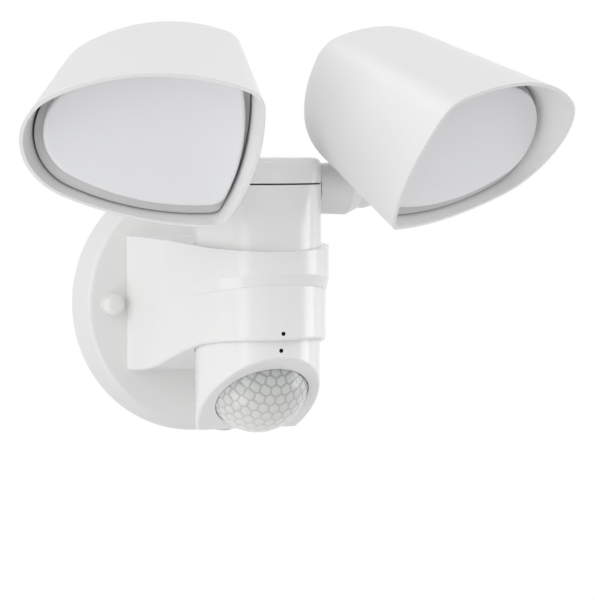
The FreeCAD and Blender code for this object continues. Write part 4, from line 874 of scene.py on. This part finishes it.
@dataclass
class Studio:
    """Plain pale floor, white surroundings and soft lamps."""

    floor_z: float = -1.7
    floor_half: float = 3.4
    floor_colour: RGB = (0.8, 0.8, 0.8)
    floor_glow: float = 0.93
    ambient: float = 0.57
    lamps: tuple[Softbox, ...] = field(default_factory=lambda: (
        Softbox("key_left", -74, 22, 1.8, 1.1, 1.5, 6.9),
        Softbox("low_left", -66, -36, 1.8, 1.1, 0.8, 5.6),
        Softbox("front_left", -46, 8, 2.0, 0.6, 1.6, 4.6),
        Softbox("front_top", -10, 58, 2.0, 1.4, 1.0, 4.6),
        Softbox("side_right", 76, 12, 1.8, 0.7, 1.6, 9.8),
        Softbox("back_right", 96, 10, 1.9, 1.2, 1.6, 3.4),
    ))

    def seen_directly(self, tree: bpy.types.NodeTree) -> Socket:
        """Factor that is 1 for what the camera, a mirror or glass sees."""
        path = tree.nodes.new("ShaderNodeLightPath")
        total = path.outputs["Is Camera Ray"]
        for name in ("Is Glossy Ray", "Is Transmission Ray"):
            most = tree.nodes.new("ShaderNodeMath")
            most.operation = "MAXIMUM"
            tree.links.new(total, most.inputs[0])
            tree.links.new(path.outputs[name], most.inputs[1])
            total = most.outputs[0]
        return total

    def surroundings(self) -> None:
        """White for direct rays, a plain pale level for the light that falls on the body."""
        world = bpy.data.worlds.new("surroundings")
        bpy.context.scene.world = world
        world.use_nodes = True
        tree = world.node_tree
        tree.nodes.clear()
        out = tree.nodes.new("ShaderNodeOutputWorld")
        glow = tree.nodes.new("ShaderNodeBackground")
        glow.inputs["Color"].default_value = (1, 1, 1, 1)
        level = tree.nodes.new("ShaderNodeMapRange")
        level.inputs["To Min"].default_value = self.ambient
        level.inputs["To Max"].default_value = 1.0
        tree.links.new(self.seen_directly(tree), level.inputs["Value"])
        tree.links.new(level.outputs[0], glow.inputs["Strength"])
        tree.links.new(glow.outputs[0], out.inputs["Surface"])

    def floor(self) -> None:
        """Pale floor far below the wall light."""
        made = bmesh.new()
        half = self.floor_half
        corners = [(-half, -half), (half, -half), (half, half), (-half, half)]
        made.faces.new([made.verts.new((x, y, self.floor_z)) for x, y in corners])
        mesh = bpy.data.meshes.new("floor")
        made.to_mesh(mesh)
        made.free()
        floor = bpy.data.objects.new("floor", mesh)
        bpy.context.scene.collection.objects.link(floor)
        sketch = MaterialSketch("floor_pale")
        sketch.feed(sketch.shader, "Base Color", (*self.floor_colour, 1))
        sketch.feed(sketch.shader, "Roughness", sketch.spread(sketch.noise(40.0), 0.85, 0.95))
        glow = sketch.node("ShaderNodeEmission", Color=(1, 1, 1, 1), Strength=1.0)
        mixed = sketch.node("ShaderNodeMixShader")
        share = sketch.math("MULTIPLY", self.seen_directly(sketch.tree), self.floor_glow)
        sketch.feed(mixed, "Fac", share)
        sketch.tree.links.new(sketch.shader.outputs[0], mixed.inputs[1])
        sketch.tree.links.new(glow.outputs[0], mixed.inputs[2])
        output = next(n for n in sketch.tree.nodes if n.type == "OUTPUT_MATERIAL")
        sketch.tree.links.new(mixed.outputs[0], output.inputs["Surface"])
        mesh.materials.append(sketch.material)

    def build(self) -> None:
        """Make everything round the body."""
        self.surroundings()
        self.floor()
        for lamp in self.lamps:
            lamp.build()


@dataclass
class ViewCamera:
    """Camera at the photograph's viewing angle."""

    azimuth: float = -22.761
    elevation: float = 3.201
    eye: tuple[float, float, float] = (-521.0, -1370.8, 82.1)
    lens: float = 180.0
    sensor: float = 36.0
    clip: tuple[float, float] = (0.05, 40.0)

    def build(self) -> None:
        """Make the camera and set it as the scene's own."""
        data = bpy.data.cameras.new("view")
        data.lens, data.sensor_width = self.lens, self.sensor
        data.clip_start, data.clip_end = self.clip
        camera = bpy.data.objects.new("view", data)
        back = direction(self.azimuth, self.elevation)
        right = Vector((0, 0, 1)).cross(back).normalized()
        turn = Matrix((right, back.cross(right), back)).transposed().to_4x4()
        camera.matrix_world = Matrix.Translation(Vector(self.eye) * MM) @ turn
        bpy.context.scene.collection.objects.link(camera)
        bpy.context.scene.camera = camera
        bpy.context.scene.view_settings.view_transform = "Standard"


def main() -> None:
    """Build and dress the light, its stage and its camera."""
    logging.basicConfig(level=logging.INFO, format="%(name)s: %(message)s")
    ViewCamera().build()
    Studio().build()
    canopy, arm, housing, sensor = WallCanopy(), BracketArm(), UpperHousing(), MotionSensor()
    heads = [LampHead(Side.RIGHT), LampHead(Side.LEFT)]
    steps: list[Callable[[], None]] = [arm.build, sensor.build]
    steps += [unit.dress for unit in (canopy, arm, housing, sensor, *heads)]
    for step in steps:
        step()


if __name__ == "__main__":
    main()
